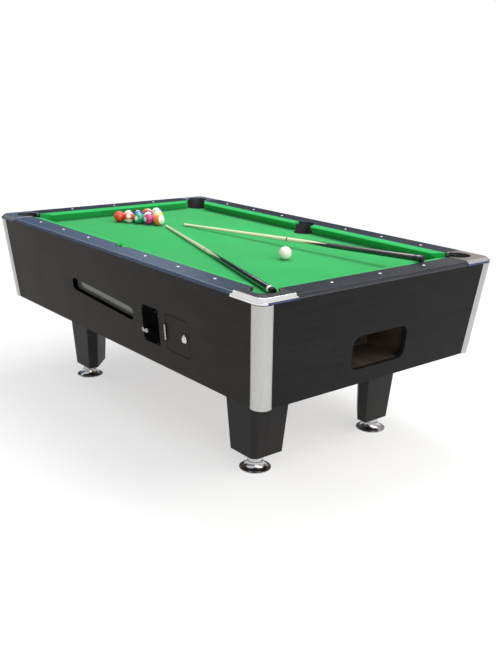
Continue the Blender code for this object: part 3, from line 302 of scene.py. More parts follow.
def grained_laminate(name, dark, light, turn, roughness, index, relief=0.00004):
    """Dark wood-grain laminate with a satin face, paler along its edges."""
    material, tree, shader = new_material(name, IOR=index)
    place = on_object(tree, turn)
    grain = use(tree, STREAKS, Vector=place, Fineness=150.0, Stretch=16.0)
    marks = use(tree, HANDLING, Vector=place, Size=7.0)
    worn = use(tree, EDGE_WEAR, Vector=place, Edge=edge_value(tree), Amount=0.45)
    base = tint(tree, grain["Streak"], (*dark, 1.0), (*light, 1.0))
    base = tint(tree, calc(tree, "MULTIPLY", grain["Cloud"], 0.35), base, (*dark, 1.0))
    pale = tuple(1.4 * value + 0.004 for value in light)
    base = tint(tree, calc(tree, "MULTIPLY", worn["Worn"], 0.6), base, (*pale, 1.0))
    gloss = calc(tree, "ADD", spread(tree, marks["Smudge"], 0.0, 1.0, roughness, roughness + 0.03),
                 calc(tree, "MULTIPLY", grain["Streak"], 0.05))
    height = calc(tree, "SUBTRACT", grain["Streak"], calc(tree, "MULTIPLY", marks["Scratch"], 0.6))
    set_look(tree, shader, base, gloss, height, relief)
    return material


def brushed_metal(name, colour, turn, roughness, fineness=420.0, relief=0.00002):
    """Satin metal with fine brushing, duller where it is handled."""
    material, tree, shader = new_material(name, Metallic=1.0)
    place = on_object(tree, turn)
    brush = use(tree, STREAKS, Vector=place, Fineness=fineness, Stretch=40.0)
    marks = use(tree, HANDLING, Vector=place, Size=12.0)
    worn = use(tree, EDGE_WEAR, Vector=place, Edge=edge_value(tree), Amount=0.6)
    dull = tuple(0.78 * value for value in colour)
    base = tint(tree, calc(tree, "MULTIPLY", brush["Streak"], 0.35), (*colour, 1.0), (*dull, 1.0))
    bright = tuple(min(1.0, 1.12 * value) for value in colour)
    base = tint(tree, worn["Worn"], base, (*bright, 1.0))
    gloss = calc(tree, "ADD", spread(tree, marks["Smudge"], 0.0, 1.0, roughness, roughness + 0.09),
                 calc(tree, "MULTIPLY", brush["Streak"], 0.06))
    height = calc(tree, "SUBTRACT", brush["Streak"], marks["Scratch"])
    set_look(tree, shader, base, gloss, height, relief)
    return material


def polished_metal(name, colour, roughness):
    """Plated metal: a clean mirror with faint smudges and hairlines."""
    material, tree, shader = new_material(name, Metallic=1.0)
    place = on_object(tree)
    marks = use(tree, HANDLING, Vector=place, Size=16.0)
    worn = use(tree, EDGE_WEAR, Vector=place, Edge=edge_value(tree), Amount=0.3)
    dull = tuple(0.86 * value for value in colour)
    base = tint(tree, marks["Smudge"], (*colour, 1.0), (*dull, 1.0))
    gloss = calc(tree, "ADD", spread(tree, marks["Smudge"], 0.0, 1.0, roughness, roughness + 0.10),
                 calc(tree, "MULTIPLY", calc(tree, "ADD", marks["Scratch"], worn["Worn"]), 0.12))
    set_look(tree, shader, base, gloss, marks["Scratch"], -0.00001)
    return material


def moulded_plastic(name, colour, roughness, index=1.5, grain=900.0, relief=0.00003):
    """Moulded plastic or rubber with a fine sparked skin."""
    material, tree, shader = new_material(name, IOR=index)
    place = on_object(tree)
    skin = mottle(tree, place, grain, 2.0, 0.6)
    marks = use(tree, HANDLING, Vector=place, Size=14.0)
    worn = use(tree, EDGE_WEAR, Vector=place, Edge=edge_value(tree), Amount=0.5)
    pale = tuple(min(1.0, 1.8 * value + 0.001) for value in colour)
    base = tint(tree, calc(tree, "MULTIPLY", marks["Smudge"], 0.3), (*colour, 1.0), (*pale, 1.0))
    base = tint(tree, worn["Worn"], base, (*pale, 1.0))
    gloss = spread(tree, calc(tree, "ADD", marks["Smudge"], skin), 0.3, 1.5, roughness, roughness + 0.15)
    height = calc(tree, "SUBTRACT", skin, marks["Scratch"])
    set_look(tree, shader, base, gloss, height, relief)
    return material


def napped_cloth(name, colour, shade, map_name):
    """Woven wool cloth with a brushed nap and faint chalk, on the piece's own flat map."""
    material, tree, shader = new_material(name, Sheen_Weight=0.08, Sheen_Roughness=0.4,
                                          Specular_IOR_Level=0.10)
    place = put(tree, "ShaderNodeUVMap", uv_map=map_name).outputs[0]
    cloth = use(tree, WEAVE, Vector=place, Pitch=0.0009)
    base = tint(tree, calc(tree, "MULTIPLY", cloth["Cloud"], 0.5), (*colour, 1.0), (*shade, 1.0))
    base = tint(tree, calc(tree, "MULTIPLY", cloth["Nap"], 0.28), base, (*shade, 1.0))
    chalk = spread(tree, mottle(tree, place, 34.0, 5.0, 0.7), 0.66, 0.80)
    pale = tuple(0.75 * value + 0.16 for value in colour)
    base = tint(tree, calc(tree, "MULTIPLY", chalk, 0.22), base, (*pale, 1.0))
    gloss = spread(tree, cloth["Nap"], 0.0, 1.0, 0.82, 0.98)
    height = calc(tree, "ADD", calc(tree, "MULTIPLY", cloth["Thread"], 0.5), cloth["Nap"])
    set_look(tree, shader, base, gloss, height, 0.00025)
    return material


def bare_board(name, dark, light, turn):
    """Plain board with an open grain."""
    material, tree, shader = new_material(name, Specular_IOR_Level=0.25)
    place = on_object(tree, turn)
    grain = use(tree, STREAKS, Vector=place, Fineness=95.0, Stretch=12.0)
    marks = use(tree, HANDLING, Vector=place, Size=6.0)
    base = tint(tree, grain["Streak"], (*dark, 1.0), (*light, 1.0))
    base = tint(tree, calc(tree, "MULTIPLY", marks["Smudge"], 0.4), base, (*dark, 1.0))
    gloss = spread(tree, grain["Streak"], 0.0, 1.0, 0.55, 0.75)
    set_look(tree, shader, base, gloss, grain["Streak"], 0.00015)
    return material


def split_slate():
    """Honed slate: grey stone with faint layers and specks."""
    material, tree, shader = new_material("honed_slate", Specular_IOR_Level=0.35)
    place = on_object(tree)
    layers = use(tree, STREAKS, Vector=place, Fineness=40.0, Stretch=5.0)
    speck = spread(tree, mottle(tree, place, 500.0, 2.0, 0.6), 0.6, 0.7)
    base = tint(tree, layers["Streak"], (0.075, 0.082, 0.092, 1.0), (0.13, 0.14, 0.15, 1.0))
    base = tint(tree, calc(tree, "MULTIPLY", speck, 0.4), base, (0.25, 0.26, 0.27, 1.0))
    gloss = spread(tree, layers["Cloud"], 0.0, 1.0, 0.55, 0.75)
    set_look(tree, shader, base, gloss, layers["Streak"], 0.0002)
    return material


def smoked_pane():
    """Frosted grey plastic sheet behind the window slot."""
    material, tree, shader = new_material("smoked_pane", Specular_IOR_Level=0.55)
    place = on_object(tree)
    marks = use(tree, HANDLING, Vector=place, Size=10.0)
    cloud = mottle(tree, place, 5.0, 2.0, 0.5)
    base = tint(tree, cloud, (0.072, 0.078, 0.070, 1.0), (0.110, 0.117, 0.105, 1.0))
    base = tint(tree, calc(tree, "MULTIPLY", marks["Scratch"], 0.5), base, (0.34, 0.34, 0.33, 1.0))
    gloss = spread(tree, marks["Smudge"], 0.0, 1.0, 0.16, 0.32)
    set_look(tree, shader, base, gloss, marks["Scratch"], -0.00003)
    return material


IVORY = (0.83, 0.80, 0.70)


def cast_resin(name):
    """Glossy ball resin; colours, bands and number discs come from the ball's own values."""
    material, tree, shader = new_material(name, IOR=1.53, Coat_Weight=0.3, Coat_Roughness=0.03)
    local = put(tree, "ShaderNodeAttribute", attribute_name="local").outputs["Vector"]
    parts = put(tree, "ShaderNodeSeparateXYZ", {0: local}).outputs
    colour = put(tree, "ShaderNodeAttribute", attribute_name="ball_colour").outputs["Color"]
    banded = put(tree, "ShaderNodeAttribute", attribute_name="banded").outputs["Fac"]
    numbered = put(tree, "ShaderNodeAttribute", attribute_name="numbered").outputs["Fac"]
    ivory = (*IVORY, 1.0)
    band = spread(tree, calc(tree, "ABSOLUTE", parts[2]), 0.545, 0.56, 1.0, 0.0)
    filled = calc(tree, "MAXIMUM", band, calc(tree, "SUBTRACT", 1.0, banded))
    base = tint(tree, filled, ivory, colour)
    disc = spread(tree, calc(tree, "ABSOLUTE", parts[0]), 0.915, 0.925)
    base = tint(tree, calc(tree, "MULTIPLY", disc, numbered), base, ivory)
    marks = use(tree, HANDLING, Vector=on_object(tree), Size=40.0)
    base = tint(tree, calc(tree, "MULTIPLY", marks["Smudge"], 0.08), base, (0.30, 0.29, 0.26, 1.0))
    gloss = spread(tree, marks["Smudge"], 0.0, 1.0, 0.05, 0.14)
    set_look(tree, shader, base, gloss, marks["Scratch"], -0.00001)
    return material


def turned_wood(name, dark, light, roughness):
    """Varnished wood of a cue, with its grain along the cue's own map."""
    material, tree, shader = new_material(name, Coat_Weight=0.5, Coat_Roughness=0.08)
    place = put(tree, "ShaderNodeUVMap", uv_map="cue").outputs[0]
    along = put(tree, "ShaderNodeMapping", {"Vector": place, "Rotation": ALONG_Y, "Scale": (1.0, 0.09, 1.0)})
    grain = use(tree, STREAKS, Vector=along.outputs[0], Fineness=260.0, Stretch=30.0)
    base = tint(tree, grain["Streak"], (*dark, 1.0), (*light, 1.0))
    gloss = spread(tree, grain["Cloud"], 0.0, 1.0, roughness, roughness + 0.1)
    set_look(tree, shader, base, gloss, grain["Streak"], 0.00002)
    return material


def pointed_butt(name, start, length):
    """Black butt of a cue with pale points let into it from the front."""
    material, tree, shader = new_material(name, Coat_Weight=1.0, Coat_Roughness=0.04)
    place = put(tree, "ShaderNodeUVMap", uv_map="cue").outputs[0]
    parts = put(tree, "ShaderNodeSeparateXYZ", {0: place}).outputs
    saw = calc(tree, "PINGPONG", calc(tree, "MULTIPLY", parts[0], 8.0), 1.0)
    reach = calc(tree, "ADD", calc(tree, "MULTIPLY", saw, length), start)
    inside = spread(tree, calc(tree, "SUBTRACT", reach, parts[1]), -0.001, 0.001)
    grain = use(tree, STREAKS, Vector=on_object(tree), Fineness=300.0, Stretch=10.0)
    black = tint(tree, grain["Streak"], (0.004, 0.004, 0.004, 1.0), (0.010, 0.009, 0.009, 1.0))
    pale = tint(tree, grain["Streak"], (0.68, 0.68, 0.44, 1.0), (0.84, 0.84, 0.60, 1.0))
    gloss = spread(tree, grain["Cloud"], 0.0, 1.0, 0.12, 0.22)
    set_look(tree, shader, tint(tree, inside, black, pale), gloss, grain["Streak"], 0.00001)
    return material


# Dark and light of the grain, the way it runs, roughness and refractive index of each laminate
LAMINATES = {
    # The side, end and leg laminates are one laminate in three copies. Their colours and refractive indices
    # are set apart as painted light and shade, for how each face is lit.
    "side_laminate": ((0.0112, 0.0092, 0.0074), (0.0225, 0.0185, 0.0150), ALONG_X, 0.40, 1.19),
    "end_laminate": ((0.0074, 0.0070, 0.0078), (0.0128, 0.0123, 0.0134), ALONG_Y, 0.40, 1.17),
    "leg_laminate": ((0.0130, 0.0121, 0.0117), (0.0225, 0.0212, 0.0207), ALONG_Z, 0.40, 1.25),
    # The four rail tops are copies of one laminate, and the two bevels are copies too. Their colours,
    # roughness and indices are set apart as painted light and shade, for how each rail is lit. The long
    # bevels' pale blue is a painted reflection of the sky.
    "rail_front": ((0.038, 0.053, 0.080), (0.051, 0.069, 0.100), ALONG_X, 0.22, 1.5),
    "rail_rear": ((0.025, 0.031, 0.040), (0.034, 0.041, 0.052), ALONG_X, 0.30, 1.12),
    "rail_head": ((0.022, 0.030, 0.039), (0.030, 0.040, 0.050), ALONG_Y, 0.35, 1.06),
    "rail_end": ((0.025, 0.029, 0.035), (0.036, 0.040, 0.047), ALONG_Y, 0.26, 1.28),
    "long_bevel": ((0.115, 0.155, 0.245), (0.150, 0.200, 0.300), ALONG_X, 0.45, 1.3),
    "end_bevel": ((0.045, 0.047, 0.054), (0.061, 0.063, 0.072), ALONG_Y, 0.50, 1.2),
}
LOOKS = {name: grained_laminate(name, *finish) for name, finish in LAMINATES.items()}
LOOKS.update({
    # Near-black band: painted shade on the rails' undersides, and a painted shadow line on the long rails'
    # lips.
    "painted_shadow_band": moulded_plastic("painted_shadow_band", (0.008, 0.010, 0.017), 0.30, 1.15),
    "trim": brushed_metal("trim_aluminium", (0.50, 0.50, 0.49), ALONG_Z, 0.30),
    "cap": polished_metal("cap_silver", (0.80, 0.79, 0.80), 0.18),
    # Painted reflection: dark blue for the plated lip below the caps' bevel, mirroring the dark room.
    "cap_lip": moulded_plastic("cap_lip", (0.030, 0.040, 0.105), 0.25, 1.3),
    "foot_chrome": polished_metal("foot_chrome", (0.60, 0.60, 0.62), 0.08),
    # Painted shade: a darker copy of the chrome for the coin slide and the hinge, standing in for their dimmer
    # reflections.
    "chrome_painted_shade": polished_metal("chrome_painted_shade", (0.33, 0.33, 0.325), 0.16),
    "lock_chrome": polished_metal("lock_chrome", (0.60, 0.60, 0.60), 0.12),
    "dark_screw": polished_metal("dark_screw", (0.10, 0.10, 0.10), 0.25),
    "steel": brushed_metal("coated_steel", (0.30, 0.30, 0.30), ALONG_X, 0.36),
    "slate": split_slate(),
    "bed_cloth": napped_cloth("bed_cloth", (0.028, 0.365, 0.098), (0.020, 0.300, 0.076), "cloth"),
    # Painted light: the cushion cloth is a brighter copy of the bed cloth, making up for the shade on the
    # cushions' faces.
    "cushion_cloth": napped_cloth("cushion_cloth", (0.025, 0.400, 0.100), (0.017, 0.325, 0.077), "cloth"),
    "liner": moulded_plastic("liner_rubber", (0.028, 0.024, 0.029), 0.40),
    "run_plastic": moulded_plastic("run_plastic", (0.030, 0.030, 0.032), 0.40),
    "coin_black": moulded_plastic("coin_black", (0.0009, 0.0007, 0.0006), 0.32, 1.03),
    "foot_pad": moulded_plastic("foot_pad", (0.020, 0.020, 0.021), 0.55),
    "board": bare_board("board", (0.075, 0.045, 0.028), (0.150, 0.098, 0.062), ALONG_X),
    # Painted shade: a darker copy of the board for the inside of the ball return box.
    "return_board_painted_shade": bare_board("return_board_painted_shade", (0.024, 0.017, 0.012), (0.055, 0.041, 0.031), ALONG_X),
    # Near-black board for cut edges, also used as painted shade in the gaps round the door, the cut-outs and
    # the return opening, and under the caps.
    "raw_edge_and_gap_shade": bare_board("raw_edge_and_gap_shade", (0.003, 0.0025, 0.002), (0.006, 0.005, 0.004), ALONG_X),
    "pane": smoked_pane(),
    "sight": moulded_plastic("sight_pearl", (0.88, 0.88, 0.86), 0.35, 1.3, 300.0, 0.00001),
    "object_ball": cast_resin("object_ball_resin"),
    "cue_ball": cast_resin("cue_ball_resin"),
    "maple": turned_wood("cue_maple", (0.68, 0.68, 0.44), (0.84, 0.84, 0.60), 0.16),
    "butt_front": pointed_butt("cue_butt_front", 0.70, 0.17),
    "butt_rear": pointed_butt("cue_butt_rear", 0.80, 0.15),
    "cue_white": moulded_plastic("cue_white", (0.86, 0.84, 0.78), 0.16, 1.5, 400.0, 0.00001),
    "cue_dark": moulded_plastic("cue_dark", (0.008, 0.007, 0.007), 0.22, 1.5, 400.0, 0.00001),
    "cue_leather": moulded_plastic("cue_leather", (0.16, 0.10, 0.06), 0.70),
})


# Mesh building

MERGE_GAP = 1e-5                 # points of a node nearer than this are one
FLAT_ANGLE = 0.8                 # degrees between faces that count as one face
SHARP_ANGLE = 28.0               # degrees past which an edge is rounded


def new_piece(name, data, looks, smooth=40.0):
    """Link a bmesh as a piece with outward faces; smooth is the sharpest angle shaded smooth."""
    bmesh.ops.recalc_face_normals(data, faces=data.faces)
    mesh = bpy.data.meshes.new(name)
    data.to_mesh(mesh)
    data.free()
    mesh.shade_smooth()
    mesh.set_sharp_from_angle(angle=math.radians(smooth))
    for look in looks:
        mesh.materials.append(LOOKS[look])
    piece = bpy.data.objects.new(name, mesh)
    bpy.context.scene.collection.objects.link(piece)
    return piece


def keep_flat(piece):
    """Shade large faces flat up to their rounded edges."""
    flat = piece.modifiers.new("flat faces", "WEIGHTED_NORMAL")
    flat.keep_sharp = True
    flat.weight = 90
    return piece


def stand_for(piece, *nodes):
    """Let a piece replace its nodes, on their body."""
    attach(piece, BODY_OF[nodes[0]])
    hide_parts(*nodes)
    return piece


def fix_on(piece, body):
    """Carry an added piece on a body."""
    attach(piece, body)


def soften(data, edge):
    """Round the sharp edges of a bmesh and mark the rounded edges with a wear value."""
    limit = math.radians(SHARP_ANGLE)
    sharp = [e for e in data.edges if len(e.link_faces) == 2 and e.calc_face_angle(0.0) > limit]
    made = bmesh.ops.bevel(data, geom=sharp, offset=edge, offset_type="OFFSET", segments=2, profile=0.5,
                           affect="EDGES", clamp_overlap=True)
    rounded = set(made["faces"])
    wear = data.verts.layers.float.new("wear")
    for vert in data.verts:
        if vert.link_faces and all(face in rounded for face in vert.link_faces):
            vert[wear] = 1.0


def merged_copy(node):
    """Bmesh of a rigid node, its loose triangles merged into flat faces."""
    data = bmesh.new()
    data.from_mesh(NODES[node].data)
    for layer in list(data.loops.layers.uv):
        data.loops.layers.uv.remove(layer)
    bmesh.ops.remove_doubles(data, verts=data.verts, dist=MERGE_GAP)
    bmesh.ops.dissolve_limit(data, angle_limit=math.radians(FLAT_ANGLE), verts=data.verts, edges=data.edges)
    return data


def refined(node, looks, edge, paint=None, smooth=40.0, shape=None):
    """Finished copy of a rigid node, with softened edges and its own looks.

    paint gives a face's place in the looks, and shape moves the points before the edges are softened.
    """
    data = merged_copy(node)
    if shape:
        for vert in data.verts:
            vert.co = shape(vert.co)
    soften(data, edge)
    for face in data.faces:
        face.material_index = paint(face) if paint else 0
    stand_for(keep_flat(new_piece("finished_" + node, data, looks, smooth)), node)


def loft(rings, capped=True, data=None):
    """Mesh through closed rings of equal counts, capped or open at its ends; data is a mesh to add it to."""
    if data is None:
        data = bmesh.new()
    rows = [[data.verts.new(point) for point in ring] for ring in rings]
    count = len(rows[0])
    for low, high in zip(rows, rows[1:]):
        for i in range(count):
            j = (i + 1) % count
            data.faces.new((low[i], low[j], high[j], high[i]))
    if capped:
        data.faces.new(rows[0])
        data.faces.new(rows[-1])
    return data


def arc(centre, radius, start, end, steps):
    """Points on an arc, angles in degrees, both ends included."""
    points = []
    for i in range(steps + 1):
        angle = math.radians(start + (end - start) * i / steps)
        points.append((centre[0] + radius * math.cos(angle), centre[1] + radius * math.sin(angle)))
    return points


def rounded_rectangle(width, height, radius, steps=8):
    """Points round a rectangle with rounded corners, about its middle."""
    points = []
    for start, sx, sy in ((0, 1, 1), (90, -1, 1), (180, -1, -1), (270, 1, -1)):
        corner = (sx * (width / 2 - radius), sy * (height / 2 - radius))
        points += arc(corner, radius, start, start + 90, steps)
    return points


def turned(profile, segments, place, map_name=None):
    """Solid of revolution about Z, with poles where the profile meets the axis.

    A named map runs round the solid across and along its axis upwards.
    """
    data = bmesh.new()
    flat = data.loops.layers.uv.new(map_name) if map_name else None
    rows = []
    for radius, z in profile:
        row = []
        for i in range(1 if radius == 0.0 else segments):
            angle = 2 * math.pi * i / segments
            row.append(data.verts.new(place @ Vector((radius * math.cos(angle), radius * math.sin(angle), z))))
        rows.append(row)
    for level, (low, high) in enumerate(zip(rows, rows[1:])):
        for i in range(segments):
            j = (i + 1) % segments
            spots = [(low[i % len(low)], i, level), (low[j % len(low)], i + 1, level),
                     (high[j % len(high)], i + 1, level + 1), (high[i % len(high)], i, level + 1)]
            corners = {}
            for vert, around, row in spots:
                corners.setdefault(vert, (around / segments, profile[row][1]))
            face = data.faces.new(list(corners))
            if flat is not None:
                for loop in face.loops:
                    loop[flat].uv = corners[loop.vert]
    return data


def smooth_line(points, steps):
    """Denser line through points, curved like a bent batten."""
    line = []
    count = len(points)
    for i in range(count - 1):
        before = Vector(points[max(i - 1, 0)])
        start = Vector(points[i])
        end = Vector(points[i + 1])
        after = Vector(points[min(i + 2, count - 1)])
        for k in range(steps):
            t = k / steps
            line.append(0.5 * (2 * start + (end - before) * t
                               + (2 * before - 5 * start + 4 * end - after) * t * t
                               + (3 * start - before - 3 * end + after) * t ** 3))
    line.append(Vector(points[-1]))
    return line


def inset_at(z):
    """Distance from the rail outline to the panels' outer face at a height."""
    return PANEL_TOP_INSET + LEAN * (CABINET_HIGH_Z - z)


FACE = (Matrix.Translation((0.0, inset_at(FACE_Z) - HALF_WIDTH, FACE_Z))
        @ Matrix.Rotation(math.pi / 2 + LEAN_ANGLE, 4, "X"))


def on_face(x, up, out):
    """Point on the front panel: along the table, up the face and out of it."""
    return FACE @ Vector((x, up, out))


# Cabinet

PANEL_CUTS_X = 0.9               # cut-outs of the front panel lie within this of its middle
PANEL_CUTS_UP = 0.12             # and within this of the door's middle, up the face
WINDOW_ZONE = (-0.04, 0.09)      # low and high of the window slot, up the face
RETURN_HALF_WIDTH = 0.17         # zone of the ball return opening
RETURN_ZONE_Z = (0.46, 0.62)


def front_paint(face):
    """Panel faces, the black lining of the window slot, and the edges of the other cut-outs painted near-black
    as shade in their gaps.
    """
    centre = FACE.inverted() @ face.calc_center_median()
    normal = FACE.inverted().to_3x3() @ face.normal
    if abs(normal.z) > 0.8 or abs(centre.x) > PANEL_CUTS_X:
        return 0
    if PANE_LOW.x < centre.x < PANE_HIGH.x and WINDOW_ZONE[0] < centre.y < WINDOW_ZONE[1]:
        return 1
    return 2 if abs(centre.y) < PANEL_CUTS_UP else 0


def foot_paint(face):
    """Panel faces and the dark edge of the ball return opening."""
    centre = face.calc_center_median()
    inside = abs(centre.y) < RETURN_HALF_WIDTH and RETURN_ZONE_Z[0] < centre.z < RETURN_ZONE_Z[1]
    return 1 if inside and abs(face.normal.x) < 0.6 else 0


def make_cabinet():
    """Four leaning panels and a floor, and at each corner a trim, a leg and a levelling foot."""
    refined("front_side_panel", ["side_laminate", "coin_black", "raw_edge_and_gap_shade"], edge=0.0010, paint=front_paint)
    refined("rear_side_panel", ["side_laminate"], edge=0.0012)
    refined("foot_end_panel", ["end_laminate", "raw_edge_and_gap_shade"], edge=0.0012, paint=foot_paint)
    refined("head_end_panel", ["end_laminate"], edge=0.0012)
    refined("cabinet_floor", ["board"], edge=0.0006)
    for end, side in CORNERS:
        make_corner_trim(end, side)
        refined("leg_%s_%s" % (end, side), ["leg_laminate"], edge=0.0016)
        make_levelling_foot(end, side)


TRIM_RADIUS = 0.040
TRIM_PROUD = 0.0052              # stands over the panel faces
TRIM_MIDDLE = TRIM_RADIUS - TRIM_PROUD
TRIM_STEP = 0.0022               # how far it steps back under the cap
TRIM_STEP_RISE = 0.0003
TRIM_JOINT_Z = RAIL_TOP_Z - 0.0222
TRIM_PLAY = 0.0001               # between the trim and the panels


def trim_section(radius):
    """Corner trim seen from above, about its own middle.

    A full outer bend, two lips that lie on the panels, and an inner bend.
    """
    turn = math.degrees(math.acos(TRIM_MIDDLE / radius))
    outer = arc((0.0, 0.0), radius, -turn, 90 + turn, 44)
    lip = TRIM_MIDDLE + TRIM_PLAY
    edge = TRIM_MIDDLE - CORNER_RADIUS
    inner = arc((edge, edge), CORNER_RADIUS - PANEL_THICKNESS, 90, 0, 16)
    lip_start = 0.0003           # the lips' thin ends, blunted
    return outer + [(outer[-1][0] + lip_start, lip), (edge + TRIM_PLAY, lip)] + inner + [
        (lip, edge + TRIM_PLAY), (lip, outer[0][1] + lip_start)]


def make_corner_trim(end, side):
    """Corner trim that steps back just under the cap, the step painted near-black as the cap's shadow."""
    full = trim_section(TRIM_RADIUS)
    stepped = trim_section(TRIM_RADIUS - TRIM_STEP)
    rings = []
    step_z = TRIM_JOINT_Z + TRIM_STEP_RISE
    levels = [(CABINET_LOW_Z, full), (TRIM_JOINT_Z, full), (step_z, stepped), (CABINET_HIGH_Z, stepped)]
    for z, section in levels:
        x = HALF_LENGTH - inset_at(z) - TRIM_MIDDLE
        y = HALF_WIDTH - inset_at(z) - TRIM_MIDDLE
        rings.append([(ENDS[end] * (x + u), SIDES[side] * (y + v), z) for u, v in section])
    data = loft(rings)
    # Painted shadow: the step under the cap takes the near-black edge look.
    for face in data.faces:
        if face.calc_center_median().z > step_z:
            face.material_index = 1
    node = "corner_trim_%s_%s" % (end, side)
    stand_for(new_piece("finished_" + node, data, ["trim", "raw_edge_and_gap_shade"], smooth=32.0), node)


FOOT_SEGMENTS = 64
FOOT_PAD_INSET = 0.005           # rubber pad inside the bell's rim
FOOT_PAD_RISE = 0.004
FOOT_COLLAR = 0.033              # radius of the collar under the leg
FOOT_BELL_LOW = 0.0070
FOOT_BELL_RISE = 0.027
FOOT_BELL_STEPS = 14
FOOT_PLAY = 0.0003               # between the collar and the leg
STEM_RADIUS = 0.0120
STEM_GROOVE = 0.0110             # radius in the grooves of its thread
STEM_PITCH = 0.0020


def make_levelling_foot(end, side):
    """Chrome bell with a rolled rim and a bright collar, on a rubber pad, with its threaded stem."""
    node = "levelling_foot_%s_%s" % (end, side)
    low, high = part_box(node)
    radius = (high.x - low.x) / 2
    place = Matrix.Translation((middle_of(node, 0), middle_of(node, 1), 0.0))
    pad_edge = radius - FOOT_PAD_INSET
    pad = turned([(0.0, 0.0), (pad_edge - 0.001, 0.0), (pad_edge, 0.001), (pad_edge, FOOT_PAD_RISE),
                  (0.0, FOOT_PAD_RISE)], FOOT_SEGMENTS, place)
    fix_on(new_piece("pad_" + node, pad, ["foot_pad"]), BODY_OF[node])
    under = [(0.0, 0.0042), (radius - 0.004, 0.0042)]
    rim = [(radius - 0.004, 0.0016), (radius - 0.0012, 0.0010), (radius - 0.0002, 0.0022), (radius, 0.0038),
           (radius - 0.0006, 0.0056), (radius - 0.0024, 0.0066), (radius - 0.0050, FOOT_BELL_LOW)]
    collar = FOOT_COLLAR
    bell = []
    for i in range(1, FOOT_BELL_STEPS + 1):
        turn = math.pi / 2 * i / FOOT_BELL_STEPS
        bell.append((collar + 0.001 + (radius - 0.006 - collar) * (1 - math.sin(turn)),
                     FOOT_BELL_LOW + FOOT_BELL_RISE * (1 - math.cos(turn))))
    top = LEG_LOW_Z - FOOT_PLAY
    neck = [(collar, 0.0350), (collar - 0.0025, 0.0362), (collar - 0.0025, 0.0385), (collar, 0.0400),
            (collar, top - 0.006), (collar - 0.0012, top - 0.0025), (collar - 0.005, top), (0.0125, top)]
    stem = [(STEM_RADIUS, top + 0.0004)]
    for i in range(int((high.z - top) / STEM_PITCH) - 1):
        stem += [(STEM_RADIUS, top + (i + 0.25) * STEM_PITCH), (STEM_GROOVE, top + (i + 0.75) * STEM_PITCH)]
    stem += [(0.0105, high.z), (0.0, high.z)]
    data = turned(under + rim + bell + neck + stem, FOOT_SEGMENTS, place)
    stand_for(new_piece("finished_" + node, data, ["foot_chrome"], smooth=35.0), node)


# Bed and rails

NOTCH_STEPS = 36
CLOTH_TURN = 0.0007              # radius of the cloth's turned edge


def bed_notches():
    """Outline of the cloth, notched round the six pockets."""
    corner_turn = math.degrees(math.asin((CORNER_POCKET_INSET - BED_INSET) / CORNER_NOTCH_RADIUS))
    side_turn = math.degrees(math.asin((SIDE_POCKET_INSET - BED_INSET) / SIDE_NOTCH_RADIUS))
    corner = (HALF_LENGTH - CORNER_POCKET_INSET, HALF_WIDTH - CORNER_POCKET_INSET)
    middle = (0.0, HALF_WIDTH - SIDE_POCKET_INSET)
    points = []
    for end, side in ((1, 1), (-1, 1), (-1, -1), (1, -1)):
        notch = arc(corner, CORNER_NOTCH_RADIUS, corner_turn - 90, -180 - corner_turn, NOTCH_STEPS)
        if end * side < 0:
            notch.reverse()
        points += [(end * x, side * y) for x, y in notch]
        if end == side:
            notch = arc(middle, SIDE_NOTCH_RADIUS, side_turn, -180 - side_turn, NOTCH_STEPS)
            points += [(side * x, side * y) for x, y in notch]
    return points


def make_bed_cloth():
    """One sheet of cloth stretched over the slate, its cut edge turned over at the pockets."""
    outline = bed_notches()
    data = loft([[(x, y, z) for x, y in outline] for z in (CLOTH_LOW_Z, BED_Z)])
    bmesh.ops.recalc_face_normals(data, faces=data.faces)
    rim = [e for e in data.edges if all(v.co.z > BED_Z - 1e-6 for v in e.verts)]
    bmesh.ops.bevel(data, geom=rim, offset=CLOTH_TURN, segments=3, profile=0.5, affect="EDGES")
    bmesh.ops.triangulate(data, faces=[f for f in data.faces if len(f.verts) > 4])
    flat = data.loops.layers.uv.new("cloth")
    for face in data.faces:
        for loop in face.loops:
            loop[flat].uv = (loop.vert.co.x, loop.vert.co.y)
    both_sides = sum(f.calc_area() for f in data.faces)
    piece = stand_for(new_piece("stretched_bed_cloth", data, ["bed_cloth"], smooth=60.0), "bed_cloth")
    refined("slate_bed", ["slate"], edge=0.0010)
    refined("slate_beam", ["board"], edge=0.0010)


def on_rail(where, along, inset, z):
    """Point of a rail's section: distance along the rail, inset from its outer edge, height."""
    if where in SIDES:
        return (along, SIDES[where] * (HALF_WIDTH - inset), z)
    return (ENDS[where] * (HALF_LENGTH - inset), along, z)


CUSHION_PLAY = 0.0015            # under the rail's top and over the bed
CUSHION_LINE_STEPS = 5
CUSHION_END = 0.0042             # length over which a cushion's end is rounded
CUSHION_END_PULL = 0.0032        # how far the rounding draws the section in
CUSHION_FOLD_STEP = 0.004        # stations along the folds beside a pocket
CUSHION_FOLD_COUNT = 12
CUSHION_STEP = 0.030             # stations along the rest
CUSHION_STILL = 0.012            # cloth lies still this far round the section from its back's foot
FOLD_HEIGHT = 0.00035
FOLD_REACH = 0.018               # how far from the end the folds die out
FOLD_TURNS = 520.0               # radians in a metre


def cushion_line():
    """Cushion's section as inset and height: back, crowned top, rounded nose and the undercut to the bed."""
    back = CUSHION_BACK
    nose = back + CUSHION_DEPTH - 0.0003
    low = BED_Z + CUSHION_PLAY
    top = RAIL_TOP_Z - CUSHION_PLAY
    crown = smooth_line([(back, top - 0.0010), (back + 0.0015, top), (back + 0.013, top - 0.0008),
                         (nose - 0.0070, top - 0.0040), (nose - 0.0014, top - 0.0062), (nose, top - 0.0084),
                         (nose - 0.0006, top - 0.0104), (nose - 0.0030, top - 0.0130),
                         (back + 0.026, top - 0.0245), (back + 0.0165, low + 0.0048),
                         (back + 0.0140, low)], CUSHION_LINE_STEPS)
    return [(back, low)] + [(point.x, point.y) for point in crown]


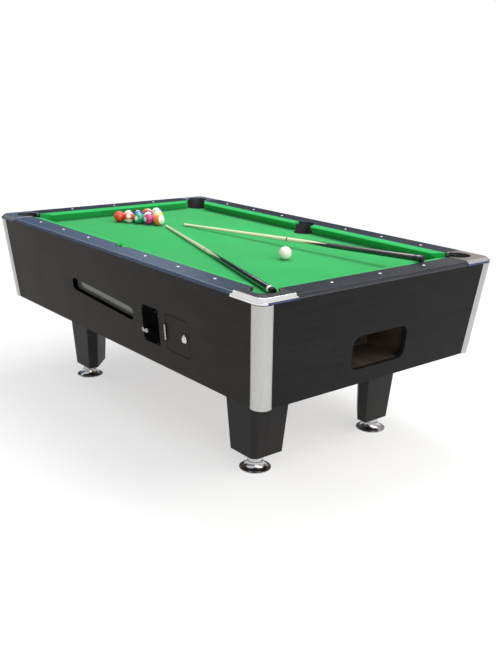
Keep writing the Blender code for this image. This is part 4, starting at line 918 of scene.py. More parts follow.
def make_cushion(name, where, start, end):
    """Rail rubber under tight cloth: rounded ends at the pockets and small pull folds beside them."""
    line = cushion_line()
    middle = (sum(p[0] for p in line) / len(line), sum(p[1] for p in line) / len(line))
    lengths = [0.0]
    for first, second in zip(line, line[1:]):
        lengths.append(lengths[-1] + math.dist(first, second))
    run = end[0] - start[0]
    near = [0.0, 0.0005, 0.0014, 0.0026, CUSHION_END]
    near += [CUSHION_END + CUSHION_FOLD_STEP * i for i in range(1, CUSHION_FOLD_COUNT)]
    between = int(run / CUSHION_STEP)
    inner = [near[-1] + (run - 2 * near[-1]) * i / between for i in range(1, between)]
    stations = near + inner + [run - d for d in reversed(near)]
    rings = []
    for along in stations:
        margin = min(along, run - along)
        left = 1 - min(margin, CUSHION_END) / CUSHION_END
        pull = CUSHION_END_PULL * (1 - math.sqrt(1 - left ** 2))
        fold = FOLD_HEIGHT * math.exp(-margin / FOLD_REACH) * math.sin(margin * FOLD_TURNS)
        wave = 0.00016 * math.sin(along * 37.0) + 0.00011 * math.sin(along * 91.0 + 1.3)
        ring = []
        for (inset, z), length in zip(line, lengths):
            share = (inset - CUSHION_BACK) / CUSHION_DEPTH
            at_start = start[0] + (start[1] - start[0]) * share
            at_end = end[0] + (end[1] - end[0]) * share
            place = at_start + (at_end - at_start) * along / run
            way = Vector((inset - middle[0], z - middle[1]))
            free = 1.0 if length > CUSHION_STILL and inset > CUSHION_BACK + 0.002 else 0.0
            shift = way.normalized() * (free * (wave + fold) - pull)
            ring.append(on_rail(where, place, inset + shift.x, z + shift.y))
        rings.append(ring)
    data = loft(rings)
    flat = data.loops.layers.uv.new("cloth")
    count = len(line)
    data.verts.ensure_lookup_table()
    data.verts.index_update()
    for face in data.faces:
        for loop in face.loops:
            row, column = divmod(loop.vert.index, count)
            loop[flat].uv = (stations[row], lengths[column])
    node = "cushion_" + name
    piece = stand_for(new_piece("covered_" + node, data, ["cushion_cloth"], smooth=50.0), node)


def make_cushions():
    """One cushion at each end and two along each side, cut at an angle at the pockets."""
    across = (HALF_WIDTH - CORNER_BACK_END, HALF_WIDTH - CORNER_NOSE_END)
    corner = (HALF_LENGTH - CORNER_BACK_END, HALF_LENGTH - CORNER_NOSE_END)
    middle = (SIDE_BACK_END, SIDE_NOSE_END)
    for end in ENDS:
        make_cushion(end, end, (-across[0], -across[1]), across)
    for side in SIDES:
        make_cushion(side + "_foot", side, middle, corner)
        make_cushion(side + "_head", side, (-corner[0], -corner[1]), (-middle[0], -middle[1]))


RAIL_TOP_WIDTH = 0.100
RAIL_EDGE = 0.011                # height of the rail's outer edge
RAIL_BEVEL_WIDTH = 0.0165        # bevel along the rail's outer edge
RAIL_BEVEL_DROP = 0.0145
RAIL_BEVEL_SLOPE = RAIL_BEVEL_DROP / RAIL_BEVEL_WIDTH
LIP_DROP = 0.0185                # rail top to the lower edge of its lip
LIP_THICKNESS = 0.0018
LIP_START = 0.0091               # rail top to where the lip takes up the bevel
JOINT_INNER = 0.167              # table's corner to the joint of rail and cap, along the inner edge
JOINT_OUTER_NODE = 0.190         # the same along the outer edge, on the nodes
JOINT_OUTER = 0.166              # and on the finished pieces
JOINT_GAP = 0.0003


def joint_reach(inset, outer=JOINT_OUTER):
    """Distance from the table's corner to the joint of rail and cap."""
    return outer + (JOINT_INNER - outer) * inset / RAIL_TOP_WIDTH


def rail_shape(where):
    """Carry a rail's ends to the finished joint and bevel its outer edge."""
    along, across = (0, 1) if where in SIDES else (1, 0)
    half = (HALF_LENGTH, HALF_WIDTH)

    def moved(point):
        spot = point.copy()
        inset = min(max(half[across] - abs(point[across]), 0.0), RAIL_TOP_WIDTH)
        if half[along] - abs(point[along]) < JOINT_OUTER_NODE + 0.01:
            gain = joint_reach(inset, JOINT_OUTER_NODE) - joint_reach(inset)
            spot[along] += math.copysign(gain, point[along])
        if inset < 0.001:
            back = RAIL_BEVEL_WIDTH + (point.z - RAIL_TOP_Z) / RAIL_BEVEL_SLOPE
            spot[across] -= math.copysign(back, point[across])
        return spot
    return moved


def rail_paint(face):
    """Laminate on the rail's top, its bevel, and a near-black underside painted as shade."""
    if face.normal.z < -0.5:
        return 2
    return 1 if 0.3 < face.normal.z < 0.97 else 0


# Looks of each rail's top, bevel and lip. The tops and bevels are copies of one laminate that carry painted
# light and shade, and the long rails' near-black lip is a painted shadow line under the rail.
RAIL_LOOKS = {
    "front": ("rail_front", "long_bevel", "painted_shadow_band"),
    "rear": ("rail_rear", "long_bevel", "painted_shadow_band"),
    "head": ("rail_head", "end_bevel", "end_bevel"),
    "foot": ("rail_end", "end_bevel", "end_bevel"),
}


def make_rail_lip(where, look, edge):
    """Lower end of a rail's bevel, with a thin lip hung in front of the panel's top."""
    half = HALF_LENGTH if where in SIDES else HALF_WIDTH
    low = -LIP_DROP
    thick = LIP_THICKNESS
    start = RAIL_BEVEL_WIDTH - LIP_START / RAIL_BEVEL_SLOPE - 0.0001
    section = [(start, -LIP_START), (0.0, -RAIL_BEVEL_DROP), (0.0, low + 0.0009), (0.0003, low + 0.0003),
               (0.0009, low), (thick, low + 0.0003), (thick, -0.0125), (0.0052, -0.0105)]
    rings = []
    for way in (-1, 1):
        end = way * (half - joint_reach(0.0) - JOINT_GAP)
        rings.append([on_rail(where, end, inset, RAIL_TOP_Z + drop) for inset, drop in section])
    data = loft(rings)
    bmesh.ops.recalc_face_normals(data, faces=data.faces)
    # Faces that look down or out take the lip's second look. On the long rails that is the near-black band, a
    # painted shadow line under the rail.
    for face in data.faces:
        face.material_index = 0 if face.normal.z > 0.3 else 1
    fix_on(new_piece("rail_lip_" + where, data, [look, edge], smooth=50.0), "table")


CAP_OVERHANG = 0.004             # over the rails' outer edge
CAP_LIP_WALL = 0.0052            # thickness of the lip under the cap's edge
CAP_TOP_Z = RAIL_TOP_Z + 0.0015
CAP_UNDER_Z = RAIL_TOP_Z - RAIL_EDGE
CAP_LIP_Z = RAIL_TOP_Z - 0.0195
CAP_BEVEL_Z = RAIL_TOP_Z - 0.0122
CAP_BEVEL_WIDTH = 0.018
CAP_CORNER_RADIUS = 0.037
CORNER_POCKET_RADIUS = 0.054


def cap_ring(outset, z, hole, place):
    """Corner cap at one level: the outer edge round the corner, then the joints and the pocket."""
    corner = CAP_CORNER_RADIUS
    reach = joint_reach(-outset)
    outer = [(reach, -outset)] + arc((corner, corner), corner + outset, 270, 180, 28) + [(-outset, reach)]
    pocket = arc((CORNER_POCKET_INSET, CORNER_POCKET_INSET), hole, 100, 350, 60)
    inner = [(RAIL_TOP_WIDTH, JOINT_INNER)] + pocket + [(JOINT_INNER, RAIL_TOP_WIDTH)]
    within = max(z, CAP_UNDER_Z)
    return [place(a, b, z) for a, b in outer] + [place(a, b, within) for a, b in inner]


def make_corner_cap(end, side):
    """Plated cap: flat top round the pocket, wide bevel that turns with the corner, and a short lip. Its wall
    round the pocket is painted black as shade in the pocket. Its lip is painted dark blue as a reflection of
    the dark room, all round the head caps and on the foot caps' end arm.
    """
    def place(a, b, z):
        return (ENDS[end] * (HALF_LENGTH - a), SIDES[side] * (HALF_WIDTH - b), z)

    over = CAP_OVERHANG
    bevel = CAP_BEVEL_WIDTH
    hole = CORNER_POCKET_RADIUS
    levels = [(over - CAP_LIP_WALL, CAP_UNDER_Z, hole), (over - CAP_LIP_WALL, CAP_LIP_Z, hole),
              (over - 0.0006, CAP_LIP_Z, hole), (over, CAP_LIP_Z + 0.0006, hole),
              (over, CAP_BEVEL_Z - 0.0007, hole), (over - 0.0003, CAP_BEVEL_Z, hole),
              (over - 0.0012, CAP_BEVEL_Z + 0.0008, hole), (over - bevel + 0.0016, CAP_TOP_Z - 0.0011, hole),
              (over - bevel + 0.0002, CAP_TOP_Z - 0.0003, hole),
              (over - bevel - 0.0016, CAP_TOP_Z, hole + 0.0010)]
    data = loft([cap_ring(outset, z, radius, place) for outset, z, radius in levels])
    bmesh.ops.remove_doubles(data, verts=data.verts, dist=1e-6)
    bmesh.ops.dissolve_degenerate(data, edges=data.edges, dist=1e-6)
    bmesh.ops.triangulate(data, faces=[face for face in data.faces if len(face.verts) > 4])
    bmesh.ops.recalc_face_normals(data, faces=data.faces)
    pocket = Vector(place(CORNER_POCKET_INSET, CORNER_POCKET_INSET, 0.0)).xy
    for face in data.faces:
        centre = face.calc_center_median()
        along_x = abs(face.normal.x) > 4 * abs(face.normal.y)
        # Painted shade: the steep wall round the pocket takes the black liner rubber, darkening the pocket.
        if face.normal.z < 0.35 and (centre.xy - pocket).length < hole + 0.002:
            face.material_index = 1
        # Painted reflection: the lip takes dark blue, all round on the head caps and on the end arm of the
        # foot caps.
        elif centre.z < CAP_BEVEL_Z + 0.0006 and (end == "head" or along_x):
            face.material_index = 2
    node = "corner_cap_%s_%s" % (end, side)
    stand_for(keep_flat(new_piece("finished_" + node, data, ["cap", "liner", "cap_lip"], smooth=50.0)), node)


def make_rails():
    """Four rails with their lips, four corner caps and the liners of the six pockets."""
    for where in (*SIDES, *ENDS):
        top, bevel, lip = RAIL_LOOKS[where]
        refined("top_rail_" + where, [top, bevel, "painted_shadow_band"], edge=0.0007, paint=rail_paint, smooth=50.0,
                shape=rail_shape(where))
        make_rail_lip(where, bevel, lip)
    for end, side in CORNERS:
        make_corner_cap(end, side)
        refined("pocket_liner_%s_%s" % (end, side), ["liner"], edge=0.0014)
    for side in SIDES:
        refined("pocket_liner_side_" + side, ["liner"], edge=0.0014)


# Pieces grown by node trees

def new_tree(name, sizes):
    """Node tree that works on points, with named sizes and a finish."""
    tree = bpy.data.node_groups.new(name, "GeometryNodeTree")
    tree.interface.new_socket("Points", in_out="INPUT", socket_type="NodeSocketGeometry")
    for title in sizes:
        tree.interface.new_socket(title, in_out="INPUT", socket_type="NodeSocketFloat")
    tree.interface.new_socket("Finish", in_out="INPUT", socket_type="NodeSocketMaterial")
    tree.interface.new_socket("Pieces", in_out="OUTPUT", socket_type="NodeSocketGeometry")
    return tree, tree.nodes.new("NodeGroupInput").outputs


def named_value(tree, name, kind):
    """Value that each point carries under a name."""
    return put(tree, "GeometryNodeInputNamedAttribute", {"Name": name}, data_type=kind).outputs[0]


def close_tree(tree, given, shape, rotation):
    """Put the shape on every point, make it real and give it its finish."""
    placed = put(tree, "GeometryNodeInstanceOnPoints",
                 {"Points": given["Points"], "Instance": shape, "Rotation": rotation}).outputs[0]
    real = put(tree, "GeometryNodeRealizeInstances", {0: placed}).outputs[0]
    finished = put(tree, "GeometryNodeSetMaterial", {0: real, "Material": given["Finish"]}).outputs[0]
    tree.links.new(finished, tree.nodes.new("NodeGroupOutput").inputs[0])


def facing(tree):
    """Turn that stands a shape's Z along the point's own direction."""
    way = named_value(tree, "facing", "FLOAT_VECTOR")
    return put(tree, "FunctionNodeAlignRotationToVector", {"Vector": way}, axis="Z").outputs[0]


def ball_of(tree, given, segments, rings):
    """Ball of the tree's Radius."""
    feeds = {"Segments": segments, "Rings": rings, "Radius": given["Radius"]}
    return put(tree, "GeometryNodeMeshUVSphere", feeds).outputs[0]


def dome_of(tree, given, segments, rings):
    """Ball of the tree's Radius, flattened to its Rise."""
    ball = ball_of(tree, given, segments, rings)
    flat = calc(tree, "DIVIDE", given["Rise"], given["Radius"])
    scale = put(tree, "ShaderNodeCombineXYZ", {0: 1.0, 1: 1.0, 2: flat}).outputs[0]
    return put(tree, "GeometryNodeTransform", {0: ball, "Scale": scale}).outputs[0]


def make_sight_tree():
    """Low pearl dots."""
    tree, given = new_tree("rail_sights", ("Radius", "Rise"))
    dot = dome_of(tree, given, 28, 14)
    smooth = put(tree, "GeometryNodeSetShadeSmooth", {0: dot}).outputs[0]
    close_tree(tree, given, smooth, facing(tree))
    return tree


def make_screw_tree():
    """Domed screw heads with a cross recess, one bar of it a little less deep for a clean cut."""
    tree, given = new_tree("screw_heads", ("Radius", "Rise", "Recess"))
    dome = dome_of(tree, given, 20, 10)
    cutters = []
    for long_axis, wide_axis, share in ((0, 1, 1.0), (1, 0, 1.06)):
        lift = calc(tree, "MULTIPLY", given["Rise"], share)
        above = put(tree, "ShaderNodeCombineXYZ", {2: lift}).outputs[0]
        sides = {long_axis: given["Radius"], wide_axis: given["Recess"], 2: given["Rise"]}
        size = put(tree, "ShaderNodeCombineXYZ", sides).outputs[0]
        bar = put(tree, "GeometryNodeMeshCube", {"Size": size}).outputs[0]
        cutters.append(put(tree, "GeometryNodeTransform", {0: bar, "Translation": above}).outputs[0])
    head = put(tree, "GeometryNodeMeshBoolean", {0: dome}, operation="DIFFERENCE")
    for bar in cutters:
        tree.links.new(bar, head.inputs[1])
    close_tree(tree, given, head.outputs[0], facing(tree))
    return tree


def make_knuckle_tree():
    """Short barrels of a hinge, in a row along their own axis."""
    tree, given = new_tree("hinge_knuckles", ("Radius", "Length"))
    barrel = put(tree, "GeometryNodeMeshCylinder",
                 {"Vertices": 28, "Radius": given["Radius"], "Depth": given["Length"]}).outputs[0]
    close_tree(tree, given, barrel, facing(tree))
    return tree


def make_ball_tree():
    """Balls that keep their own local directions, for the bands and discs of their finish."""
    tree, given = new_tree("ball_set", ("Radius",))
    ball = ball_of(tree, given, 56, 28)
    way = put(tree, "ShaderNodeVectorMath", {0: put(tree, "GeometryNodeInputPosition").outputs[0]},
              operation="NORMALIZE").outputs[0]
    kept = put(tree, "GeometryNodeStoreNamedAttribute", {0: ball, "Name": "local", "Value": way},
               data_type="FLOAT_VECTOR", domain="POINT").outputs[0]
    smooth = put(tree, "GeometryNodeSetShadeSmooth", {0: kept}).outputs[0]
    turn = put(tree, "FunctionNodeEulerToRotation", {0: named_value(tree, "turn", "FLOAT_VECTOR")}).outputs[0]
    close_tree(tree, given, smooth, turn)
    return tree


SIGHT_TREE = make_sight_tree()
SCREW_TREE = make_screw_tree()
KNUCKLE_TREE = make_knuckle_tree()
BALL_TREE = make_ball_tree()
FIELD_OF = {"FLOAT": "value", "FLOAT_VECTOR": "vector", "FLOAT_COLOR": "color"}


def grown(name, tree, look, points, values, **sizes):
    """Plain mesh that a node tree grows on points; values maps a point value's name to its kind and list."""
    seed = bpy.data.meshes.new(name)
    seed.from_pydata([tuple(point) for point in points], [], [])
    for title, (kind, numbers) in values.items():
        layer = seed.attributes.new(title, kind, "POINT")
        layer.data.foreach_set(FIELD_OF[kind], np.array(numbers, float).ravel())
    piece = bpy.data.objects.new(name, seed)
    bpy.context.scene.collection.objects.link(piece)
    grow = piece.modifiers.new("grow", "NODES")
    grow.node_group = tree
    sizes["Finish"] = LOOKS[look]
    for socket in tree.interface.items_tree:
        if socket.in_out == "INPUT" and socket.name in sizes:
            grow[socket.identifier] = sizes[socket.name]
    graph = bpy.context.evaluated_depsgraph_get()
    mesh = bpy.data.meshes.new_from_object(piece.evaluated_get(graph))
    piece.modifiers.clear()
    piece.data = mesh
    return piece


SIGHT_INSET_LONG = 0.063         # on the long rails, from the outer edge
SIGHT_INSET_END = 0.058
SIGHT_STEP_LONG = 0.234
SIGHT_STEP_END = 0.255


def make_sights():
    """Six sights on each long rail, three on each end rail."""
    points = []
    for side in SIDES:
        for step in (-3, -2, -1, 1, 2, 3):
            points.append(on_rail(side, step * SIGHT_STEP_LONG, SIGHT_INSET_LONG, RAIL_TOP_Z))
    for end in ENDS:
        for step in (-1, 0, 1):
            points.append(on_rail(end, step * SIGHT_STEP_END, SIGHT_INSET_END, RAIL_TOP_Z))
    up = [(0.0, 0.0, 1.0)] * len(points)
    sights = grown("rail_sights", SIGHT_TREE, "sight", points, {"facing": ("FLOAT_VECTOR", up)},
                   Radius=0.0062, Rise=0.0012)
    fix_on(sights, "table")


# Window, coin gear and cash door

def make_window():
    """Smoked pane behind the window slot."""
    refined("window_pane", ["pane"], edge=0.0006)


PLATE_OUT = 0.0033               # coin plate's face over the panel
SLIDE_DROP = 0.0125              # slide's middle below the plate's
GRIP_START = 0.0262              # grip's back over the panel
GRIP_WIDTH = 0.042
GRIP_HEIGHT = 0.018
GRIP_THICKNESS = 0.0050
GRIP_NOTCH = 0.0080              # radius of the thumb notch
GRIP_LOW_ROUND = 0.006
GRIP_HIGH_ROUND = 0.004
# Share of the outline and height over the grip's back, level by level
GRIP_LEVELS = [(0.97, 0.0), (1.0, 0.0008), (1.0, GRIP_THICKNESS - 0.0014), (0.97, GRIP_THICKNESS - 0.0004),
               (0.93, GRIP_THICKNESS)]
TONGUE_CUT = GRIP_START - 0.0004  # node's tongue is cut here
TONGUE_END = GRIP_START + 0.0012  # and drawn out to here, inside the grip
# Width, height and corner radius
BEZEL_OUTER = (0.058, 0.036, 0.006)
BEZEL_INNER = (0.0456, 0.0216, 0.005)
BEZEL_EDGE_RISE = 0.0022
BEZEL_RISE = 0.0036
SCREW_X = 0.048                  # screws from the plate's middle
SCREW_UP = 0.068


def grip_outline():
    """Face of the slide's grip: rounded below, with a round thumb notch in its top edge."""
    x = GRIP_WIDTH / 2
    y = GRIP_HEIGHT / 2
    low = arc((x - GRIP_LOW_ROUND, GRIP_LOW_ROUND - y), GRIP_LOW_ROUND, 270, 360, 6)
    high = arc((x - GRIP_HIGH_ROUND, y - GRIP_HIGH_ROUND), GRIP_HIGH_ROUND, 0, 90, 5)
    right = low + high + [(GRIP_NOTCH + 0.0012, y)]
    notch = arc((0.0, y), GRIP_NOTCH, -8, -172, 18)
    return right + notch + [(-u, v) for u, v in reversed(right)]


def make_coin_slide():
    """Chrome slide of the coin gear: notched grip on the node's own tongue and post."""
    data = merged_copy("coin_slide")
    data.transform(FACE.inverted())
    cut = bmesh.ops.bisect_plane(data, geom=data.verts[:] + data.edges[:] + data.faces[:], dist=1e-6,
                                 plane_co=(0.0, 0.0, TONGUE_CUT), plane_no=(0.0, 0.0, 1.0), clear_outer=True)
    ring = [item for item in cut["geom_cut"] if isinstance(item, bmesh.types.BMEdge)]
    bmesh.ops.contextual_create(data, geom=ring)
    for vert in {vert for edge in ring for vert in edge.verts}:
        vert.co.z = TONGUE_END
    data.transform(FACE)
    outline = grip_outline()
    rings = []
    for share, out in GRIP_LEVELS:
        level = GRIP_START + out
        rings.append([on_face(COIN_X + u * share, v * share - SLIDE_DROP, level) for u, v in outline])
    loft(rings, data=data)
    bmesh.ops.triangulate(data, faces=[face for face in data.faces if len(face.verts) > 4])
    stand_for(keep_flat(new_piece("finished_coin_slide", data, ["chrome_painted_shade"], smooth=45.0)), "coin_slide")


def make_coin_gear():
    """Black coin plate with screws and a raised bezel that takes in the pushed grip, and the chrome slide."""
    refined("coin_plate", ["coin_black"], edge=0.0009)
    outer = rounded_rectangle(*BEZEL_OUTER)
    inner = rounded_rectangle(*BEZEL_INNER)
    rings = []
    for outline, out in ((inner, PLATE_OUT), (outer, PLATE_OUT), (outer, PLATE_OUT + BEZEL_EDGE_RISE),
                         (inner, PLATE_OUT + BEZEL_RISE)):
        rings.append([on_face(COIN_X + u, v - SLIDE_DROP, out) for u, v in outline])
    data = loft(rings + rings[:1], capped=False)
    bmesh.ops.remove_doubles(data, verts=data.verts, dist=1e-7)
    bmesh.ops.recalc_face_normals(data, faces=data.faces)
    soften(data, edge=0.0006)
    fix_on(new_piece("coin_bezel", data, ["coin_black"]), "table")
    make_coin_slide()
    refined("trap_gate", ["steel"], edge=0.0004)

    spots = []
    for sx in (-1, 1):
        for sy in (-1, 1):
            spots.append(on_face(COIN_X + sx * SCREW_X, sy * SCREW_UP, PLATE_OUT))
    out = FACE.to_3x3() @ Vector((0.0, 0.0, 1.0))
    screws = grown("coin_plate_screws", SCREW_TREE, "dark_screw", spots,
                   {"facing": ("FLOAT_VECTOR", [tuple(out)] * len(spots))},
                   Radius=0.0030, Rise=0.0014, Recess=0.0008)
    fix_on(screws, "table")


def door_paint(face):
    """Laminate on the door's faces. Its edges and their wide rounded rims are painted near-black as shade,
    widening the dark gap round the door.
    """
    normal = FACE.inverted().to_3x3() @ face.normal
    return 0 if abs(normal.z) > 0.96 else 1


KNUCKLE_COUNT = 5
KNUCKLE_RADIUS = 0.0045
KNUCKLE_OUT = 0.0043             # their axis over the panel
KNUCKLE_GAP = 0.0012


def make_cash_door():
    """Door in the cabinet's laminate, chrome hinge with knuckles, and the pear-shaped turn lock."""
    refined("cash_door", ["side_laminate", "raw_edge_and_gap_shade"], edge=0.0019, paint=door_paint)
    refined("door_hinge", ["chrome_painted_shade"], edge=0.0005)
    low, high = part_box("door_hinge")
    length = (high.z - low.z) / math.cos(LEAN_ANGLE) / KNUCKLE_COUNT
    up = FACE.to_3x3() @ Vector((0.0, 1.0, 0.0))
    spots = []
    for i in range(KNUCKLE_COUNT):
        spots.append(on_face(HINGE_X, (i - (KNUCKLE_COUNT - 1) / 2) * length, KNUCKLE_OUT))
    knuckles = grown("hinge_knuckles", KNUCKLE_TREE, "chrome_painted_shade", spots,
                     {"facing": ("FLOAT_VECTOR", [tuple(up)] * len(spots))},
                     Radius=KNUCKLE_RADIUS, Length=length - KNUCKLE_GAP)
    fix_on(knuckles, "table")
    make_door_lock()


def pear(width, height, steps=14):
    """Pear outline, round below and pointed above."""
    points = arc((0.0, 0.0), width / 2, 150, 390, 2 * steps)
    tip = (0.0, height - width / 2)
    waist = (0.30 * width, 0.62 * tip[1])
    right = smooth_line([points[-1], waist, tip], steps)
    left = smooth_line([tip, (-waist[0], waist[1]), points[0]], steps)
    return points + right[1:] + left[1:-1]


LOCK_WIDTH = 0.027
LOCK_HEIGHT = 0.036
# Share of the lock cover's outline and height over the panel, level by level
LOCK_LEVELS = [(1.0, 0.0012), (1.0, 0.0060), (0.94, 0.0078), (0.80, 0.0090)]


def make_door_lock():
    """Lock with its cam, under a domed pear-shaped cover."""
    refined("door_lock", ["lock_chrome"], edge=0.0006)
    outline = pear(LOCK_WIDTH, LOCK_HEIGHT)
    rings = []
    for share, out in LOCK_LEVELS:
        rings.append([on_face(LOCK_X + u * share, v * share, out) for u, v in outline])
    data = loft(rings)
    fix_on(new_piece("lock_cover", data, ["lock_chrome"], smooth=50.0), "door_lock")


def make_cash_box():
    """Steel box behind the door and the shelf it stands on."""
    refined("cash_box", ["steel"], edge=0.0005)
    refined("cash_shelf", ["steel"], edge=0.0005)


def make_ball_run():
    """Gutters, tray and chute inside the cabinet, and the box behind the return opening."""
    for node in ("front_gutter", "rear_gutter", "head_gutter", "ball_tray", "return_chute"):
        refined(node, ["run_plastic"], edge=0.0007)
    # Painted shade: the return box takes the darker copy of the board.
    refined("return_box", ["return_board_painted_shade"], edge=0.0008)


# Game set

YELLOW = (0.90, 0.58, 0.04)
BLUE = (0.02, 0.10, 0.55)
RED = (0.84, 0.055, 0.012)
MAGENTA = (0.56, 0.025, 0.20)
ORANGE = (0.90, 0.20, 0.02)
GREEN = (0.004, 0.33, 0.15)
PURPLE = (0.16, 0.04, 0.36)
MAROON = (0.26, 0.018, 0.030)
BLACK = (0.008, 0.008, 0.009)

# Colour, band and turn of each ball, row by row from the first ball, each row from the front side
RACK = [
    [(ORANGE, 1, (0.0, 1.4, 0.36))],
    [(MAGENTA, 0, (0.0, -0.1, -1.5)), (YELLOW, 0, (0.2, -0.5, 0.9))],
    [(GREEN, 0, (0.0, -0.1, -1.15)), (PURPLE, 1, (0.5, 0.4, -0.4)), (YELLOW, 1, (1.0, 0.3, 0.5))],
    [(RED, 1, (0.0, 0.42, 2.45)), (BLUE, 0, (0.3, -0.6, -0.5)), (MAROON, 0, (0.4, 0.9, 0.3)),
     (GREEN, 1, (0.8, 0.5, 1.2))],
    [(RED, 0, (0.0, 0.3, 0.9)), (MAROON, 1, (0.6, 0.2, -0.7)), (BLACK, 0, (0.1, -0.7, -0.7)),
     (ORANGE, 0, (0.5, -0.9, 0.4)), (BLUE, 1, (0.9, 0.4, 0.2))],
]


def make_balls():
    """Fifteen racked balls as one piece, and the white ball."""
    points = []
    colours = []
    bands = []
    turns = []
    row_step = RACK_PITCH * math.sqrt(3) / 2
    for row, balls in enumerate(RACK):
        for place, (colour, band, turn) in enumerate(balls):
            points.append((RACK_APEX_X - row * row_step, (place - row / 2) * RACK_PITCH, BALL_Z))
            colours.append((*colour, 1.0))
            bands.append(float(band))
            turns.append(turn)
    values = {"ball_colour": ("FLOAT_COLOR", colours), "banded": ("FLOAT", bands),
              "numbered": ("FLOAT", [1.0] * len(points)), "turn": ("FLOAT_VECTOR", turns)}
    stand_for(grown("racked_balls", BALL_TREE, "object_ball", points, values, Radius=BALL_RADIUS),
              "object_balls")
    values = {"ball_colour": ("FLOAT_COLOR", [(*IVORY, 1.0)]), "banded": ("FLOAT", [0.0]),
              "numbered": ("FLOAT", [0.0]), "turn": ("FLOAT_VECTOR", [(0.3, 0.4, 0.0)])}
    stand_for(grown("white_ball", BALL_TREE, "cue_ball", [(CUE_BALL_X, 0.0, BALL_Z)], values,
                    Radius=BALL_RADIUS), "cue_ball")


def cue_axis(node):
    """Tip point and direction of a cue, from its node's two flat ends."""
    points = np.array([vert.co for vert in NODES[node].data.vertices])
    rough = points - points.mean(0)
    way = np.linalg.svd(rough, full_matrices=False)[2][0]
    along = points @ way
    if points[along.argmax()][0] < points[along.argmin()][0]:
        way = -way
        along = -along
    ends = []
    for edge in (along.min(), along.max()):
        spots = np.unique(points[np.abs(along - edge) < 0.002].round(6), axis=0)
        ends.append(Vector((spots.max(0) + spots.min(0)) / 2))
    return ends[0], (ends[1] - ends[0]).normalized()


CUE_SWELL = 0.0012               # fuller middle of the shaft
CUE_SWELL_END = 0.95
CUE_TIP_END = 0.007              # zones of a cue, from its tip
CUE_FERRULE_END = 0.030
CUE_RING = 0.006                 # length of the joint ring
CUE_BANDS = (0.042, 0.024, 0.012)  # from the butt's end: start and end of its ring, start of the bumper
CUE_STEP = 0.03
CUE_SEGMENTS = 32
CUE_END_ROUND = 0.0016


def cue_radius(along):
    """Radius of a cue at a distance from its tip."""
    share = max(0.0, along - CUE_STRAIGHT) / (CUE_LENGTH - CUE_STRAIGHT)
    swell = CUE_SWELL * math.sin(math.pi * min(1.0, along / CUE_SWELL_END))
    return CUE_TIP_RADIUS + (CUE_BUTT_RADIUS - CUE_TIP_RADIUS) * share + swell


def make_cue(node, joint, joint_ring, butt, end_ring):
    """Cue turned in zones: leather tip, ferrule, maple shaft, joint ring, pointed butt, end ring, bumper."""
    looks = ["cue_leather", "cue_white", "maple", "cue_dark", butt]
    leather, ferrule, shaft, bumper, handle = range(len(looks))
    ring_start, ring_end, bumper_start = (CUE_LENGTH - back for back in CUE_BANDS)
    zones = [(CUE_TIP_END, leather), (CUE_FERRULE_END, ferrule), (joint, shaft),
             (joint + CUE_RING, looks.index(joint_ring)), (ring_start, handle),
             (ring_end, looks.index(end_ring)), (bumper_start, handle), (CUE_LENGTH, bumper)]
    stations = [0.0]
    paint = []
    for end, zone in zones:
        start = stations[-1]
        steps = max(1, int((end - start) / CUE_STEP))
        for i in range(1, steps + 1):
            stations.append(start + (end - start) * i / steps)
            paint.append(zone)
    tip, way = cue_axis(node)
    place = Matrix.Translation(tip) @ way.to_track_quat("Z", "Y").to_matrix().to_4x4()
    profile = [(0.0, 0.0), (0.0038, 0.0002), (0.0056, 0.0011)]
    profile += [(cue_radius(along), along) for along in stations if along >= CUE_TIP_END]
    profile[-1] = (profile[-1][0] - CUE_END_ROUND, profile[-1][1])
    profile.append((0.0, CUE_LENGTH))
    bands = [leather] * 3 + paint[1:] + [bumper]
    data = turned(profile, CUE_SEGMENTS, place, "cue")
    for number, face in enumerate(data.faces):
        face.material_index = bands[number // CUE_SEGMENTS]
    stand_for(new_piece("turned_" + node, data, looks, smooth=45.0), node)


def make_game_set():
    """Balls and two cues; a cue's joint is given from its tip."""
    make_balls()
    make_cue("cue_front", joint=0.650, joint_ring="cue_leather", butt="butt_front", end_ring="cue_white")
    make_cue("cue_rear", joint=0.705, joint_ring="cue_dark", butt="butt_rear", end_ring="cue_dark")


# Studio

CAMERA_PLACE = Vector((3.078, -2.367, 1.542))
CAMERA_YAW = math.radians(50.53)
CAMERA_DIP = math.radians(17.11)
CAMERA_ROLL = math.radians(1.37)
CAMERA_LENS = 45.7


def make_camera():
    """Camera at the photograph's own place, off the table's foot end and front side."""
    level = math.cos(CAMERA_DIP)
    ahead = Vector((-math.sin(CAMERA_YAW) * level, math.cos(CAMERA_YAW) * level, -math.sin(CAMERA_DIP)))
    right = Vector((math.cos(CAMERA_YAW), math.sin(CAMERA_YAW), 0.0))
    up = right.cross(ahead)
    turned_right = math.cos(CAMERA_ROLL) * right + math.sin(CAMERA_ROLL) * up
    turned_up = math.cos(CAMERA_ROLL) * up - math.sin(CAMERA_ROLL) * right
    place = Matrix((turned_right, turned_up, -ahead)).transposed().to_4x4()
    place.translation = CAMERA_PLACE
    lens = bpy.data.cameras.new("camera")
    lens.lens = CAMERA_LENS
    lens.sensor_width = 36.0
    camera = bpy.data.objects.new("camera", lens)
    camera.matrix_world = place
    bpy.context.scene.collection.objects.link(camera)
    bpy.context.scene.camera = camera


def make_softbox(name, place, target, width, height, watts, colour):
    """Rectangular light that faces a target."""
    lamp = bpy.data.lights.new(name, "AREA")
    lamp.shape = "RECTANGLE"
    lamp.size = width
    lamp.size_y = height
    lamp.energy = watts
    lamp.color = colour
    box = bpy.data.objects.new(name, lamp)
    box.location = place
    box.rotation_mode = "QUATERNION"
    box.rotation_quaternion = (Vector(target) - Vector(place)).to_track_quat("-Z", "Y")
    bpy.context.scene.collection.objects.link(box)


